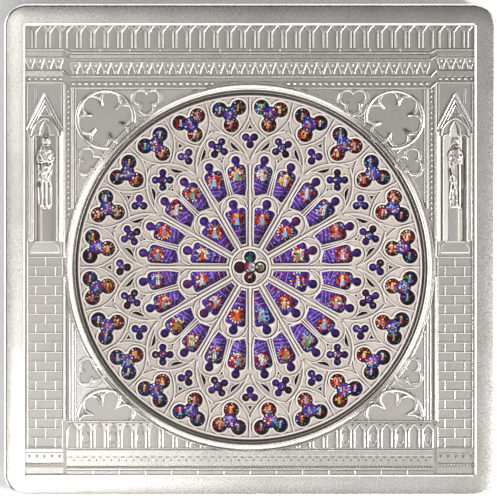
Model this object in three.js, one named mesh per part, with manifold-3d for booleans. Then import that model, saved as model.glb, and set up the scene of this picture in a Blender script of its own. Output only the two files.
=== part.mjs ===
// Square silver coin with a round rose window let into its face.
//
// Three pieces: the struck silver plate with its rim, the carved front of a church and a round
// seat, a disc of stained glass that lies in the seat, and the pierced rose of tracery on the
// glass. Millimetres, +Z out of the face, +Y to the top of the picture, origin at the bottom centre.

import * as THREE from 'three';
import { mergeVertices } from 'three/addons/utils/BufferGeometryUtils.js';
import Module from 'manifold-3d';

// Plate
const SIDE = 60;
const THICKNESS = 5;
const CORNER_RADIUS = 2.9;
const EDGE_BEVEL = 0.4;
const RIM_WIDTH = 2.55;
const FACE_DEPTH = 0.75;
const BACK_DEPTH = 0.25;
const CORNER_STEPS = 5;
const BACK_CORNER = 1;
const RIM_OVERLAP = 0.2;

// Levels
const FIELD_Z = THICKNESS - FACE_DEPTH;
const ROOT_Z = FIELD_Z - 0.125;
const LOW_RELIEF = 0.2;
const MID_RELIEF = 0.35;
const HIGH_RELIEF = 0.5;
const FIELD_HALF = SIDE / 2 - RIM_WIDTH;

// Seat, glass and ring moulding
const ROSE_Y = -2.1;
const ROSE_RADIUS = 21;
const SEAT_RADIUS = ROSE_RADIUS + 0.25;
const SEAT_Z = 2.5;
const GLASS_RADIUS = ROSE_RADIUS - 0.05;
const GLASS_THICKNESS = 1;
const ROUND_STEPS = 48;
const RING_OUTER = 22.55;
const RING_PROFILE = [
  [SEAT_RADIUS - 1, ROOT_Z],
  [RING_OUTER, ROOT_Z],
  [RING_OUTER, 4.4],
  [21.8, 4.8],
  [21.45, 4.5],
  [SEAT_RADIUS - 1, 4.5],
];

// Tracery
const SPOKES = 12;
const SECTOR = (2 * Math.PI) / SPOKES;
const TRACERY_THICKNESS = 1;
const TRACERY_RIB = 0.15;
const SPOKE_RIB_WIDTH = 0.3;
const HUB_RADIUS = 2.6;
const HUB_RIB_WIDTH = 0.35;
const HUB_SIDES = 24;
const SPLIT_RADIUS = 12.4;

// Openings of one twelfth of the rose, its axis along +Y
const INNER_PETAL = {
  side: [[0.3, 2.95], [1.29, 6.85], [1.02, 7.26], [0.38, 7.38]],
  headY: 7.93, headRadius: 0.56, neck: -0.7,
};
const OUTER_PETAL = {
  left: [[-0.37, 9.25], [-0.33, 11.9], [-0.75, 12.4]],
  right: [[-2.35, 12.35], [-2.6, 11.8], [-1.72, 8.62], [-1.1, 8.97]],
  headX: -1.67, headY: 13.06, headRadius: 0.535, neck: -0.85,
};
const SLIP = [[-1.66, 15.35], [-1.74, 14.52], [-2.48, 13.93], [-2.0, 14.88]];
const HUB_FOIL = { lobes: 4, reach: 1.24, lobe: 0.74, heart: 0.79, steps: 4 };
const QUATREFOIL = { lobes: 4, reach: 0.89, lobe: 0.46, heart: 0.6, turn: Math.PI / 4, steps: 2 };
const QUATREFOIL_Y = 15.05;
const TREFOIL = { lobes: 3, reach: 1.33, lobe: 0.94, heart: 0.9, turn: -Math.PI / 2, steps: 3 };
const TREFOIL_Y = 18.86;
const SMALL_TREFOIL = { lobes: 3, reach: 0.6, lobe: 0.49, heart: 0.36, turn: -Math.PI / 2, steps: 2 };
const SMALL_TREFOIL_Y = 15.57;

// Front of the church
const BAY_PITCH = 1.666;
const BAY_COUNT = 27;
const AISLE_LIGHTS = [23.75, 25.5];
const CENTRE_HALF = 21.9;
const AISLE_INNER = 22.75;
const ARCADE_BASE = 24.6;
const ARCADE_SPRING = 26.55;
const ARCADE_APEX = 27.2;
const ARCADE_PIER = 0.6;
const ARCADE_END = 22.3;
const GALLERY_TOP = -20.9;
const GALLERY_APEX = -21.3;
const GALLERY_SPRING = -22;
const GALLERY_BASE = -24.05;
const GALLERY_END = 22.4;
const GALLERY_GAP = 6;
const CENTRE_FRIEZE = { top: 23.05, bottom: 21.45, pitch: 1.245, head: 0.5 };
const AISLE_FRIEZE = { top: 23.5, bottom: 22, pitch: 1.22, head: 0.5 };
const CENTRE_COURSES = [
  { top: 24.5, bottom: 23.9, height: LOW_RELIEF },
  { top: 23.8, bottom: 23.15, height: MID_RELIEF },
  { top: 21.25, bottom: 21.05, height: HIGH_RELIEF },
  { top: 20.5, bottom: 19.6, height: MID_RELIEF },
  { top: -24.3, bottom: -26.3, height: MID_RELIEF },
  { top: -26.8, bottom: -FIELD_HALF, height: LOW_RELIEF },
];
const AISLE_COURSES = [
  { top: 24.45, bottom: 23.65, height: LOW_RELIEF },
  { top: 21.85, bottom: 21.15, height: MID_RELIEF },
  { top: 21.05, bottom: 20.35, height: LOW_RELIEF },
  { top: -24.1, bottom: -25.9, height: MID_RELIEF },
  { top: -26.4, bottom: -FIELD_HALF, height: LOW_RELIEF },
];
const SHAFTS = [
  { x: 22.55, width: 0.2, height: HIGH_RELIEF },
  { x: 22.1, width: 0.55, height: LOW_RELIEF },
  { x: 21.6, width: 0.3, height: MID_RELIEF },
  { x: 21.2, width: 0.15, height: LOW_RELIEF },
];
const SHAFT_TOP = 20.2;
const CARVING_FOOT = GALLERY_TOP + 0.1;
const PANEL_HALF = 21.1;
const PANEL_INNER = 9;
const UPPER_PANEL = { top: 19.6, bottom: 7.5 };
const LOWER_PANEL = { top: -12.5, bottom: CARVING_FOOT };
const WHEEL = { x: 17.6, topY: 15.95, bottomY: -20.5, radius: 3.7, band: 0.35, sides: 18 };
const WHEEL_FOIL = { lobes: 6, reach: 2.37, lobe: 0.95, heart: 1.7, turn: Math.PI / 12, steps: 2 };
const PANEL_FOIL = { lobes: 3, reach: 0.85, lobe: 0.7, heart: 0.55, steps: 2 };
const UPPER_FOILS = [{ x: -12.6, y: 18.2, turn: -Math.PI / 2 }, { x: -19.5, y: 10.7, turn: 0 }];
const LOWER_FOILS = [{ x: -19.5, y: -14.9, turn: 0 }];

// Niche and statue
const NICHE = {
  x: 25, half: 1.5, floor: 0.6, spring: 14, apex: 15.7, depth: 0.25,
  gableTop: 19.1, gableFoot: 14.8, gableHalf: 2.25, gableBand: 0.3, archBand: 0.45,
  sillTop: 1.1, sillBottom: -0.5, sillHalf: 1.3, sillFootHalf: 1.8, bossY: 16.9, bossRadius: 0.5,
};
const STATUE = {
  foot: 5.2, headY: 13.35, headRadius: 0.52, headStretch: 1.25, headLift: 0.05,
  plinthHalf: 0.65, plinthTop: 0.25, sunk: 0.1,
};
const STATUE_PROFILE = [
  [0, 5.2], [0.8, 5.2], [0.72, 7.2], [0.78, 9.2], [0.95, 11], [1.05, 12], [0.55, 12.75], [0, 12.9],
];
const STATUE_SIDES = 8;
const STATUE_FLATTEN = 0.5;
const FOLD_DEPTH = 0.14;

const wasm = await Module();
wasm.setup();

// ---------------------------------------------------------------- solids

/** A closed geometry as a solid that can be joined and cut. */
function toSolid(geometry) {
  const bare = geometry.clone();
  bare.deleteAttribute('normal');
  bare.deleteAttribute('uv');
  const merged = mergeVertices(bare, 1e-5);
  return new wasm.Manifold(new wasm.Mesh({
    numProp: 3,
    vertProperties: new Float32Array(merged.attributes.position.array),
    triVerts: new Uint32Array(merged.index.array),
  }));
}

/** A solid back as a geometry with flat faces. */
function toGeometry(solid) {
  const mesh = solid.getMesh();
  const geometry = new THREE.BufferGeometry();
  geometry.setAttribute('position', new THREE.BufferAttribute(mesh.vertProperties, 3));
  geometry.setIndex(new THREE.BufferAttribute(mesh.triVerts, 1));
  geometry.computeVertexNormals();
  return geometry;
}

/** An outline with holes, raised from one level to another. */
function slab(outline, bottom, top, holes = []) {
  const clockwise = THREE.ShapeUtils.isClockWise(outline);
  const shape = new THREE.Shape(clockwise ? [...outline].reverse() : outline);
  shape.holes = holes.map((hole) => new THREE.Path(hole));
  const geometry = new THREE.ExtrudeGeometry(shape, { depth: top - bottom, bevelEnabled: false });
  geometry.translate(0, 0, bottom);
  return geometry;
}

/** Relief that stands on the field by the given height. */
function relief(outline, height, holes = []) {
  return toSolid(slab(outline, ROOT_Z, FIELD_Z + height, holes));
}

const join = (solids) => solids.reduce((whole, piece) => whole.add(piece));

// ---------------------------------------------------------------- outlines

const at = (x, y) => new THREE.Vector2(x, y);
const through = (pairs) => pairs.map(([x, y]) => at(x, y));

/** Points of an arc, both ends included. */
function arc(x, y, radius, from, to, steps) {
  return Array.from({ length: steps + 1 }, (_, i) => {
    const angle = from + ((to - from) * i) / steps;
    return at(x + radius * Math.cos(angle), y + radius * Math.sin(angle));
  });
}

const circle = (x, y, radius, steps) => arc(x, y, radius, 0, 2 * Math.PI, steps).slice(0, -1);
const box = (x0, y0, x1, y1) => [at(x0, y0), at(x1, y0), at(x1, y1), at(x0, y1)];
const mirrored = (points) => points.map((p) => at(-p.x, p.y));
const turned = (points, angle) => points.map((p) => p.clone().rotateAround(at(0, 0), angle));
const shifted = (points, x, y) => points.map((p) => at(p.x + x, p.y + y));

/** A straight bar of the given width between two points. */
function bar(x0, y0, x1, y1, width) {
  const side = at(y0 - y1, x1 - x0).setLength(width / 2);
  return [
    at(x0 + side.x, y0 + side.y), at(x0 - side.x, y0 - side.y),
    at(x1 - side.x, y1 - side.y), at(x1 + side.x, y1 + side.y),
  ];
}

/** A trefoil, quatrefoil or hexafoil: round lobes around a round heart. */
function foil({ lobes, reach, lobe, heart, turn = 0, steps }) {
  const cosine = (reach * reach + heart * heart - lobe * lobe) / (2 * reach * heart);
  const sine = Math.sqrt(1 - cosine * cosine);
  const opening = Math.atan2(heart * sine, heart * cosine - reach);
  const points = [];
  for (let i = 0; i < lobes; i += 1) {
    const axis = turn + (i * 2 * Math.PI) / lobes;
    const x = reach * Math.cos(axis);
    const y = reach * Math.sin(axis);
    points.push(...arc(x, y, lobe, axis - opening, axis + opening, steps));
  }
  return points;
}

/** A pointed light with straight jambs, its two head arcs meeting at the apex. */
function lancet(x, half, base, spring, apex, steps) {
  const rise = apex - spring;
  const radius = (half * half + rise * rise) / (2 * half);
  const sweep = Math.atan2(rise, radius - half);
  const right = arc(x + half - radius, spring, radius, 0, sweep, steps);
  const left = arc(x - half + radius, spring, radius, Math.PI - sweep, Math.PI, steps);
  return [at(x + half, base), ...right, ...left.slice(1), at(x - half, base)];
}

// ---------------------------------------------------------------- rose tracery

/** Petal of the inner ring: a tapered light with round shoulders, a neck and a round head. */
function innerPetal() {
  const { side, headY, headRadius, neck } = INNER_PETAL;
  const half = [...through(side), ...arc(0, headY, headRadius, neck, Math.PI / 2, 3)];
  return [...half, ...mirrored(half).reverse().slice(1)];
}

/** Petal of the outer ring, left of the sector axis, standing on the arch of the inner one. */
function outerPetal() {
  const { left, right, headX, headY, headRadius, neck } = OUTER_PETAL;
  return [
    ...through(left), ...arc(headX, headY, headRadius, neck, Math.PI - neck, 3), ...through(right),
  ];
}

/** The dark slip between the big arch and the heads of the lights. */
const slip = () => through(SLIP);

/** All openings of one twelfth of the rose, its axis along +Y. */
function sectorOpenings() {
  const trefoil = shifted(foil(TREFOIL), 0, TREFOIL_Y);
  return [
    innerPetal(),
    outerPetal(),
    mirrored(outerPetal()),
    slip(),
    mirrored(slip()),
    shifted(foil(QUATREFOIL), 0, QUATREFOIL_Y),
    turned(trefoil, SECTOR / 4),
    turned(trefoil, -SECTOR / 4),
    turned(shifted(foil(SMALL_TREFOIL), 0, SMALL_TREFOIL_Y), SECTOR / 2),
  ];
}

/** Tracery disc on its own origin: the pierced slab with ribs along spokes, hub and rim. */
function traceryGeometry() {
  const openings = [foil(HUB_FOIL)];
  for (let i = 0; i < SPOKES; i += 1) {
    const angle = (i + 0.5) * SECTOR;
    openings.push(...sectorOpenings().map((points) => turned(points, angle)));
  }
  const disc = circle(0, 0, ROSE_RADIUS, ROUND_STEPS);
  const ribFoot = TRACERY_THICKNESS / 2;
  const ribTop = TRACERY_THICKNESS + TRACERY_RIB;
  const hubHole = circle(0, 0, HUB_RADIUS - HUB_RIB_WIDTH, HUB_SIDES);
  const ribs = [toSolid(slab(circle(0, 0, HUB_RADIUS, HUB_SIDES), ribFoot, ribTop, [hubHole]))];
  for (let i = 0; i < SPOKES; i += 1) {
    const start = HUB_RADIUS - HUB_RIB_WIDTH / 2;
    const spoke = turned(bar(0, start, 0, SPLIT_RADIUS, SPOKE_RIB_WIDTH), i * SECTOR);
    ribs.push(toSolid(slab(spoke, ribFoot, ribTop)));
  }
  return toGeometry(join([toSolid(slab(disc, 0, TRACERY_THICKNESS, openings)), ...ribs]));
}

// ---------------------------------------------------------------- silver plate

/** A square with round corners. */
function roundedSquare(half, radius) {
  const inner = half - radius;
  const corners = [[inner, inner], [-inner, inner], [-inner, -inner], [inner, -inner]];
  return corners.flatMap(([x, y], i) => {
    const start = (i * Math.PI) / 2;
    return arc(x, y, radius, start, start + Math.PI / 2, CORNER_STEPS);
  });
}

/** The blank: bevelled edges, a sunk field on the face and a shallow one on the back. */
function blank() {
  const shape = new THREE.Shape(roundedSquare(SIDE / 2, CORNER_RADIUS));
  const geometry = new THREE.ExtrudeGeometry(shape, {
    depth: THICKNESS - 2 * EDGE_BEVEL,
    bevelThickness: EDGE_BEVEL,
    bevelSize: EDGE_BEVEL,
    bevelOffset: -EDGE_BEVEL,
    bevelSegments: 1,
  });
  geometry.translate(0, 0, EDGE_BEVEL);
  const field = box(-FIELD_HALF, -FIELD_HALF, FIELD_HALF, FIELD_HALF);
  return toSolid(geometry)
    .subtract(toSolid(slab(field, FIELD_Z, THICKNESS + 1)))
    .subtract(toSolid(slab(roundedSquare(FIELD_HALF, BACK_CORNER), -1, BACK_DEPTH)));
}

/** A row of pointed lights cut out of one strip, open at their feet. */
function arcade(centres, x0, x1, levels, height) {
  const half = levels.half;
  const points = [at(x0, levels.top), at(x0, levels.base)];
  for (const x of centres) {
    const light = lancet(x, half, levels.base, levels.spring, levels.apex, 1).reverse();
    points.push(...light.filter((p) => p.x > x0 && p.x < x1));
  }
  points.push(at(x1, levels.base), at(x1, levels.top));
  return relief(points, height);
}

/** A frieze of leaves: a band whose lower edge is a row of points. */
function leafFrieze(x0, x1, { top, bottom, pitch, head }) {
  const count = Math.round((x1 - x0) / pitch);
  const step = (x1 - x0) / count;
  const points = [at(x1, top), at(x0, top)];
  for (let i = 0; i < count; i += 1) {
    points.push(at(x0 + i * step, top - head));
    points.push(at(x0 + (i + 0.5) * step, bottom));
  }
  points.push(at(x1, top - head));
  return relief(points, MID_RELIEF);
}

/** Both arcades, the cornices, the friezes and the courses at the foot. */
function storeys() {
  const pieces = [];
  const centres = Array.from({ length: BAY_COUNT }, (_, i) => (i - (BAY_COUNT - 1) / 2) * BAY_PITCH);
  const topLevels = {
    half: (BAY_PITCH - ARCADE_PIER) / 2, top: FIELD_HALF, base: ARCADE_BASE,
    spring: ARCADE_SPRING, apex: ARCADE_APEX,
  };
  const galleryLevels = {
    half: (BAY_PITCH - ARCADE_PIER) / 2, top: GALLERY_TOP, base: GALLERY_BASE,
    spring: GALLERY_SPRING, apex: GALLERY_APEX,
  };
  pieces.push(arcade(centres, -ARCADE_END, ARCADE_END, topLevels, MID_RELIEF));
  const left = centres.filter((x) => x < -GALLERY_GAP);
  const right = left.map((x) => -x).reverse();
  const inner = left.at(-1) + BAY_PITCH / 2;
  pieces.push(arcade(left, -GALLERY_END, inner, galleryLevels, LOW_RELIEF));
  pieces.push(arcade(right, -inner, GALLERY_END, galleryLevels, LOW_RELIEF));
  for (const course of CENTRE_COURSES) {
    pieces.push(relief(box(-CENTRE_HALF, course.bottom, CENTRE_HALF, course.top), course.height));
  }
  pieces.push(leafFrieze(-CENTRE_HALF, CENTRE_HALF, CENTRE_FRIEZE));
  for (const side of [-1, 1]) {
    const [x0, x1] = [side * FIELD_HALF, side * AISLE_INNER].sort((a, b) => a - b);
    const lights = AISLE_LIGHTS.map((x) => side * x).sort((m, n) => m - n);
    pieces.push(arcade(lights, x0, x1, topLevels, MID_RELIEF));
    for (const course of AISLE_COURSES) {
      pieces.push(relief(box(x0, course.bottom, x1, course.top), course.height));
    }
    pieces.push(leafFrieze(x0, x1, AISLE_FRIEZE));
  }
  return pieces;
}

/** Upright shafts between the aisles and the centre. */
function shafts() {
  return [-1, 1].flatMap((side) => SHAFTS.map(({ x, width, height }) => relief(
    box(side * x - width / 2, CARVING_FOOT, side * x + width / 2, SHAFT_TOP), height)));
}

/** The four carved spandrels around the rose, with their foils sunk to the field. */
function spandrels() {
  const { x, topY, bottomY, radius, band, sides } = WHEEL;
  const panelFoil = (place) => shifted(foil({ ...PANEL_FOIL, turn: place.turn }), place.x, place.y);
  const pieces = [];
  for (const side of [-1, 1]) {
    const flip = (points) => (side < 0 ? points : mirrored(points));
    const panel = ({ top, bottom }, holes) => relief(
      flip(box(-PANEL_HALF, bottom, -PANEL_INNER, top)), LOW_RELIEF, holes.map(flip));
    const ring = (y) => relief(
      flip(circle(-x, y, radius, sides)), MID_RELIEF, [flip(circle(-x, y, radius - band, sides))]);
    const upperHoles = [shifted(foil(WHEEL_FOIL), -x, topY), ...UPPER_FOILS.map(panelFoil)];
    const below = flip(box(-x - radius, bottomY - radius, -x + radius, CARVING_FOOT));
    pieces.push(panel(UPPER_PANEL, upperHoles));
    pieces.push(panel(LOWER_PANEL, LOWER_FOILS.map(panelFoil)));
    pieces.push(ring(topY));
    pieces.push(ring(bottomY).subtract(toSolid(slab(below, 0, THICKNESS))));
  }
  return pieces;
}

/** The sunk half hexafoils of the lower spandrels, as cutters. */
function lowerFoils() {
  const { x, bottomY } = WHEEL;
  const above = toSolid(slab(box(-SIDE, CARVING_FOOT, SIDE, 0), 0, THICKNESS + 1));
  return [-x, x].map((centre) => {
    const points = centre < 0 ? foil(WHEEL_FOIL) : mirrored(foil(WHEEL_FOIL));
    return toSolid(slab(shifted(points, centre, bottomY), FIELD_Z, THICKNESS)).intersect(above);
  });
}

/** One robed statue with a plain round head, turned folds and a plinth, half sunk in its niche. */
function statue(x) {
  const profile = STATUE_PROFILE.map(([radius, y]) => at(radius, y));
  const robe = new THREE.LatheGeometry(profile, STATUE_SIDES);
  const position = robe.attributes.position;
  for (let i = 0; i < position.count; i += 1) {
    const angle = Math.atan2(position.getZ(i), position.getX(i));
    const fold = 1 - FOLD_DEPTH * (0.5 + 0.5 * Math.cos((angle * STATUE_SIDES) / 2));
    position.setX(i, position.getX(i) * fold);
    position.setZ(i, position.getZ(i) * fold * STATUE_FLATTEN);
  }
  const { foot, headY, headRadius, headStretch, headLift, plinthHalf, plinthTop, sunk } = STATUE;
  const head = new THREE.SphereGeometry(headRadius, 8, 6).scale(1, headStretch, 1);
  head.translate(0, headY, headLift);
  const plinth = slab(box(-plinthHalf, NICHE.sillTop - sunk, plinthHalf, foot + sunk), -sunk, plinthTop);
  const floor = FIELD_Z - NICHE.depth;
  return [robe, head, plinth].map((geometry) => toSolid(geometry.translate(x, 0, floor)));
}

/** Gable, arch and sill of the niche on one side. */
function nicheFrame(side) {
  const x = side * NICHE.x;
  const { half, floor, spring, apex, gableTop, gableFoot, gableHalf, gableBand, archBand } = NICHE;
  const { sillTop, sillBottom, sillHalf, sillFootHalf, bossY, bossRadius } = NICHE;
  const arch = lancet(x, half + archBand, floor, spring, apex + archBand, 3);
  const light = lancet(x, half, floor, spring, apex, 3);
  const gable = (foot) => relief(bar(x, gableTop, x + foot, gableFoot, gableBand), HIGH_RELIEF);
  const sill = [
    at(x - sillHalf, sillTop), at(x + sillHalf, sillTop),
    at(x + sillFootHalf, sillBottom), at(x - sillFootHalf, sillBottom),
  ];
  return [
    relief(arch, MID_RELIEF).subtract(relief(light, MID_RELIEF + 1)),
    gable(-gableHalf),
    gable(gableHalf),
    relief(sill, HIGH_RELIEF),
    relief(circle(x, bossY, bossRadius, 6), MID_RELIEF),
  ];
}

/** The sunk ground of the niche on one side, as a cutter. */
function nicheHollow(side) {
  const { x, half, sillTop, spring, apex, depth } = NICHE;
  const light = lancet(side * x, half, sillTop, spring, apex, 3);
  return toSolid(slab(light, FIELD_Z - depth, FIELD_Z + 0.1));
}

/** Round prism over the rose. */
const roundSlab = (radius, bottom, top) => toSolid(slab(circle(0, ROSE_Y, radius, ROUND_STEPS), bottom, top));

/** Ring moulding around the seat. */
function ringMoulding() {
  const profile = [...RING_PROFILE, RING_PROFILE[0]].map(([radius, z]) => at(radius, z));
  const ring = new THREE.LatheGeometry(profile, ROUND_STEPS);
  ring.rotateX(Math.PI / 2);
  ring.rotateZ(Math.PI / 2);
  return toSolid(ring.translate(0, ROSE_Y, 0));
}

/** The whole plate. */
function plateGeometry() {
  const reach = FIELD_HALF + RIM_OVERLAP;
  const inside = box(-reach, -reach, reach, reach);
  const outside = toSolid(slab(box(-SIDE, -SIDE, SIDE, SIDE), ROOT_Z - 1, THICKNESS, [inside]));
  const carving = join([
    ...storeys(), ...shafts(), ...spandrels(), ...nicheFrame(-1), ...nicheFrame(1),
  ]).subtract(outside);
  let plate = blank().add(carving);
  for (const cutter of [...lowerFoils(), nicheHollow(-1), nicheHollow(1)]) {
    plate = plate.subtract(cutter);
  }
  plate = join([plate, ...statue(-NICHE.x), ...statue(NICHE.x), ringMoulding()]);
  return toGeometry(plate.subtract(roundSlab(SEAT_RADIUS, SEAT_Z, THICKNESS + 1)));
}

// ---------------------------------------------------------------- assembly

const silver = new THREE.MeshStandardMaterial({ color: 0xcfccc7, metalness: 1, roughness: 0.35 });
const glass = new THREE.MeshStandardMaterial({ color: 0x4b2f8c, metalness: 0, roughness: 0.15 });
const ivory = new THREE.MeshStandardMaterial({ color: 0xe6ded8, metalness: 0, roughness: 0.5 });

const plate = new THREE.Mesh(plateGeometry(), silver);
plate.name = 'silver_plate';

const glassGeometry = slab(circle(0, 0, GLASS_RADIUS, ROUND_STEPS), 0, GLASS_THICKNESS);
const glassDisc = new THREE.Mesh(glassGeometry, glass);
glassDisc.name = 'stained_glass_disc';
glassDisc.position.set(0, ROSE_Y, SEAT_Z);

const tracery = new THREE.Mesh(traceryGeometry(), ivory);
tracery.name = 'rose_tracery';
tracery.position.set(0, ROSE_Y, SEAT_Z + GLASS_THICKNESS);

const coin = new THREE.Group();
coin.add(plate, glassDisc, tracery);

export default coin;
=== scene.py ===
"""A square silver coin with a rose window of tracery and stained glass let into its face."""

import logging
import math
import random
from dataclasses import dataclass, field
from enum import Enum
from typing import Iterable, Sequence

import bmesh
import bpy
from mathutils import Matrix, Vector


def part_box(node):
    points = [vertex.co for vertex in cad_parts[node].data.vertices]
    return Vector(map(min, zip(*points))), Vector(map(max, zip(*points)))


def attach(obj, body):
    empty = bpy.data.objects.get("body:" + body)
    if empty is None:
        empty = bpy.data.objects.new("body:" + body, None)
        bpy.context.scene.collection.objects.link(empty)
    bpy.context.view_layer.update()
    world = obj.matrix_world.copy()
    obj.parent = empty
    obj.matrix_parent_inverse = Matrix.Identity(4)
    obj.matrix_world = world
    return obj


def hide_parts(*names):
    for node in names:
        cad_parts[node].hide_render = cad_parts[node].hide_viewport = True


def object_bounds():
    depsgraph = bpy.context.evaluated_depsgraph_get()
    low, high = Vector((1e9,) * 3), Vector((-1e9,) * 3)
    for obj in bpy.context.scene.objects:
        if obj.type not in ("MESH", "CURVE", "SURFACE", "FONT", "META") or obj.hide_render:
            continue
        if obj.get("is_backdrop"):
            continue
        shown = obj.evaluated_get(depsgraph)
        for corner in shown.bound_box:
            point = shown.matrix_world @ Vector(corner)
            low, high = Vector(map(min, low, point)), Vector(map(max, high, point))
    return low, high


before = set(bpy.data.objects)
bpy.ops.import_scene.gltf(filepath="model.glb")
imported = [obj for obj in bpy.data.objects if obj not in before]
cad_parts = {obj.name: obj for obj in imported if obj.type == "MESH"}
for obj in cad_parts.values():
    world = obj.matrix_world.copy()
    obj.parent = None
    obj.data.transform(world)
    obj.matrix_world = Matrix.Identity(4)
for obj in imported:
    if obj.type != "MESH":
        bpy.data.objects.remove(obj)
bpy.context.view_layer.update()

LOG = logging.getLogger("coin")
MM = 0.001

Point = tuple[float, float]
Point3 = tuple[float, float, float]
Path = list[Point]
Colour = tuple[float, float, float, float]



def box_mm(node: str) -> tuple[Point3, Point3]:
    """Lowest and highest corner of a CAD node in millimetres."""
    low, high = (tuple(round(v / MM, 4) for v in corner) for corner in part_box(node))
    return low, high


# Places in millimetres that the CAD nodes' boxes give.
PLATE_HIGH = box_mm("silver_plate")[1]
GLASS_LOW, GLASS_HIGH = box_mm("stained_glass_disc")
ROSE_LOW, ROSE_HIGH = box_mm("rose_tracery")
ROSE_Y = round((ROSE_LOW[1] + ROSE_HIGH[1]) / 2, 4)
ROSE_RADIUS = ROSE_HIGH[0]
SEAT_Z = GLASS_LOW[2]
GLASS_TOP = GLASS_HIGH[2]

# Levels and radii within the plate, where its box doesn't show them.
FIELD_Z = 4.25
ROOT_Z = 4.1
HOLLOW_Z = 3.7
FIELD_HALF = 27.45
SEAT_RADIUS = 21.25
RING_OUTER = 22.55
NICHE_X = 25.0


SIDES = (-1, 1)  # left and right


# ------------------------------------------------------------------ outlines


def arc(x: float, y: float, radius: float, start: float, end: float, steps: int) -> Path:
    """Points of an arc, both ends included.

    Args:
        x: Centre across.
        y: Centre up.
        radius: Radius.
        start: First angle in degrees.
        end: Last angle in degrees.
        steps: Number of chords.

    Returns:
        The points in order.
    """
    angles = [math.radians(start + (end - start) * i / steps) for i in range(steps + 1)]
    return [(x + radius * math.cos(a), y + radius * math.sin(a)) for a in angles]


def circle(x: float, y: float, radius: float, steps: int) -> Path:
    """Points of a whole circle."""
    return arc(x, y, radius, 0, 360, steps)[:-1]


def box(x0: float, y0: float, x1: float, y1: float) -> Path:
    """Corners of an upright rectangle."""
    return [(x0, y0), (x1, y0), (x1, y1), (x0, y1)]


def turned(points: Iterable[Point], degrees: float) -> Path:
    """Points turned about the origin."""
    c, s = math.cos(math.radians(degrees)), math.sin(math.radians(degrees))
    return [(x * c - y * s, x * s + y * c) for x, y in points]


def shifted(points: Iterable[Point], dx: float, dy: float) -> Path:
    """Points moved sideways and up."""
    return [(x + dx, y + dy) for x, y in points]


def flipped(points: Iterable[Point], side: int) -> Path:
    """Points mirrored to the given side: 1 keeps them, -1 mirrors them left to right."""
    return [(x * side, y) for x, y in points]


def pointed_arch(x: float, half: float, spring: float, apex: float, steps: int) -> Path:
    """Head of a pointed light, from its right springing over the apex to the left.

    Args:
        x: Middle of the light.
        half: Half its width.
        spring: Height where the arcs start.
        apex: Height of the point.
        steps: Chords in each arc.

    Returns:
        The points in order.
    """
    rise = apex - spring
    radius = (half * half + rise * rise) / (2 * half)
    sweep = math.degrees(math.atan2(rise, radius - half))
    right = arc(x + half - radius, spring, radius, 0, sweep, steps)
    left = arc(x - half + radius, spring, radius, 180 - sweep, 180, steps)
    return right + left[1:]


def signed_area(outline: Sequence[Point]) -> float:
    """Twice the area of a closed outline, negative if it runs clockwise."""
    ahead = [*outline[1:], outline[0]]
    return sum(a[0] * b[1] - b[0] * a[1] for a, b in zip(outline, ahead))


def off_rose(x: float, y: float) -> float:
    """Distance of a point from the middle of the rose."""
    return math.hypot(x, y - ROSE_Y)


def side_normals(path: Sequence[Point], closed: bool) -> list[Point]:
    """Mitred left-hand normals at each point of a path.

    Args:
        path: The points.
        closed: Whether the last point joins the first.

    Returns:
        One vector a point, long enough that an offset keeps its width.
    """
    count = len(path)
    edges: list[Point] = []
    for i in range(count if closed else count - 1):
        (x0, y0), (x1, y1) = path[i], path[(i + 1) % count]
        length = math.hypot(x1 - x0, y1 - y0) or 1e-9
        edges.append(((y0 - y1) / length, (x1 - x0) / length))
    normals = []
    for i in range(count):
        before = edges[i - 1] if closed or i > 0 else edges[0]
        after = edges[i % len(edges)] if closed or i < count - 1 else edges[-1]
        mx, my = before[0] + after[0], before[1] + after[1]
        length = math.hypot(mx, my) or 1e-9
        mx, my = mx / length, my / length
        reach = 1 / max(0.45, mx * after[0] + my * after[1])
        normals.append((mx * reach, my * reach))
    return normals


def outside_rose(path: Sequence[Point], radius: float) -> list[Path]:
    """The runs of a path that lie clear of the rose.

    Args:
        path: The points of an open path.
        radius: Distance from the middle of the rose to keep.

    Returns:
        Each run that is left, cut exactly at the circle.
    """
    def clear(p: Point) -> bool:
        """Whether a point is far enough from the middle of the rose."""
        return off_rose(*p) >= radius

    fine: Path = [path[0]]
    for (x0, y0), (x1, y1) in zip(path, path[1:]):
        pieces = max(1, int(math.hypot(x1 - x0, y1 - y0) / 0.4))
        fine += [(x0 + (x1 - x0) * k / pieces, y0 + (y1 - y0) * k / pieces)
                 for k in range(1, pieces + 1)]
    runs: list[Path] = []
    run: Path = []
    for before, after in zip([fine[0]] + fine, fine):
        if clear(before) != clear(after):
            low, high = before, after
            for _ in range(14):
                middle = ((low[0] + high[0]) / 2, (low[1] + high[1]) / 2)
                if clear(middle) == clear(before):
                    low = middle
                else:
                    high = middle
            run.append(low)
        if clear(after):
            run.append(after)
        elif run:
            runs.append(run)
            run = []
    if run:
        runs.append(run)
    return [r for r in runs if len(r) > 1]


# -------------------------------------------------------------------- shells


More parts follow.
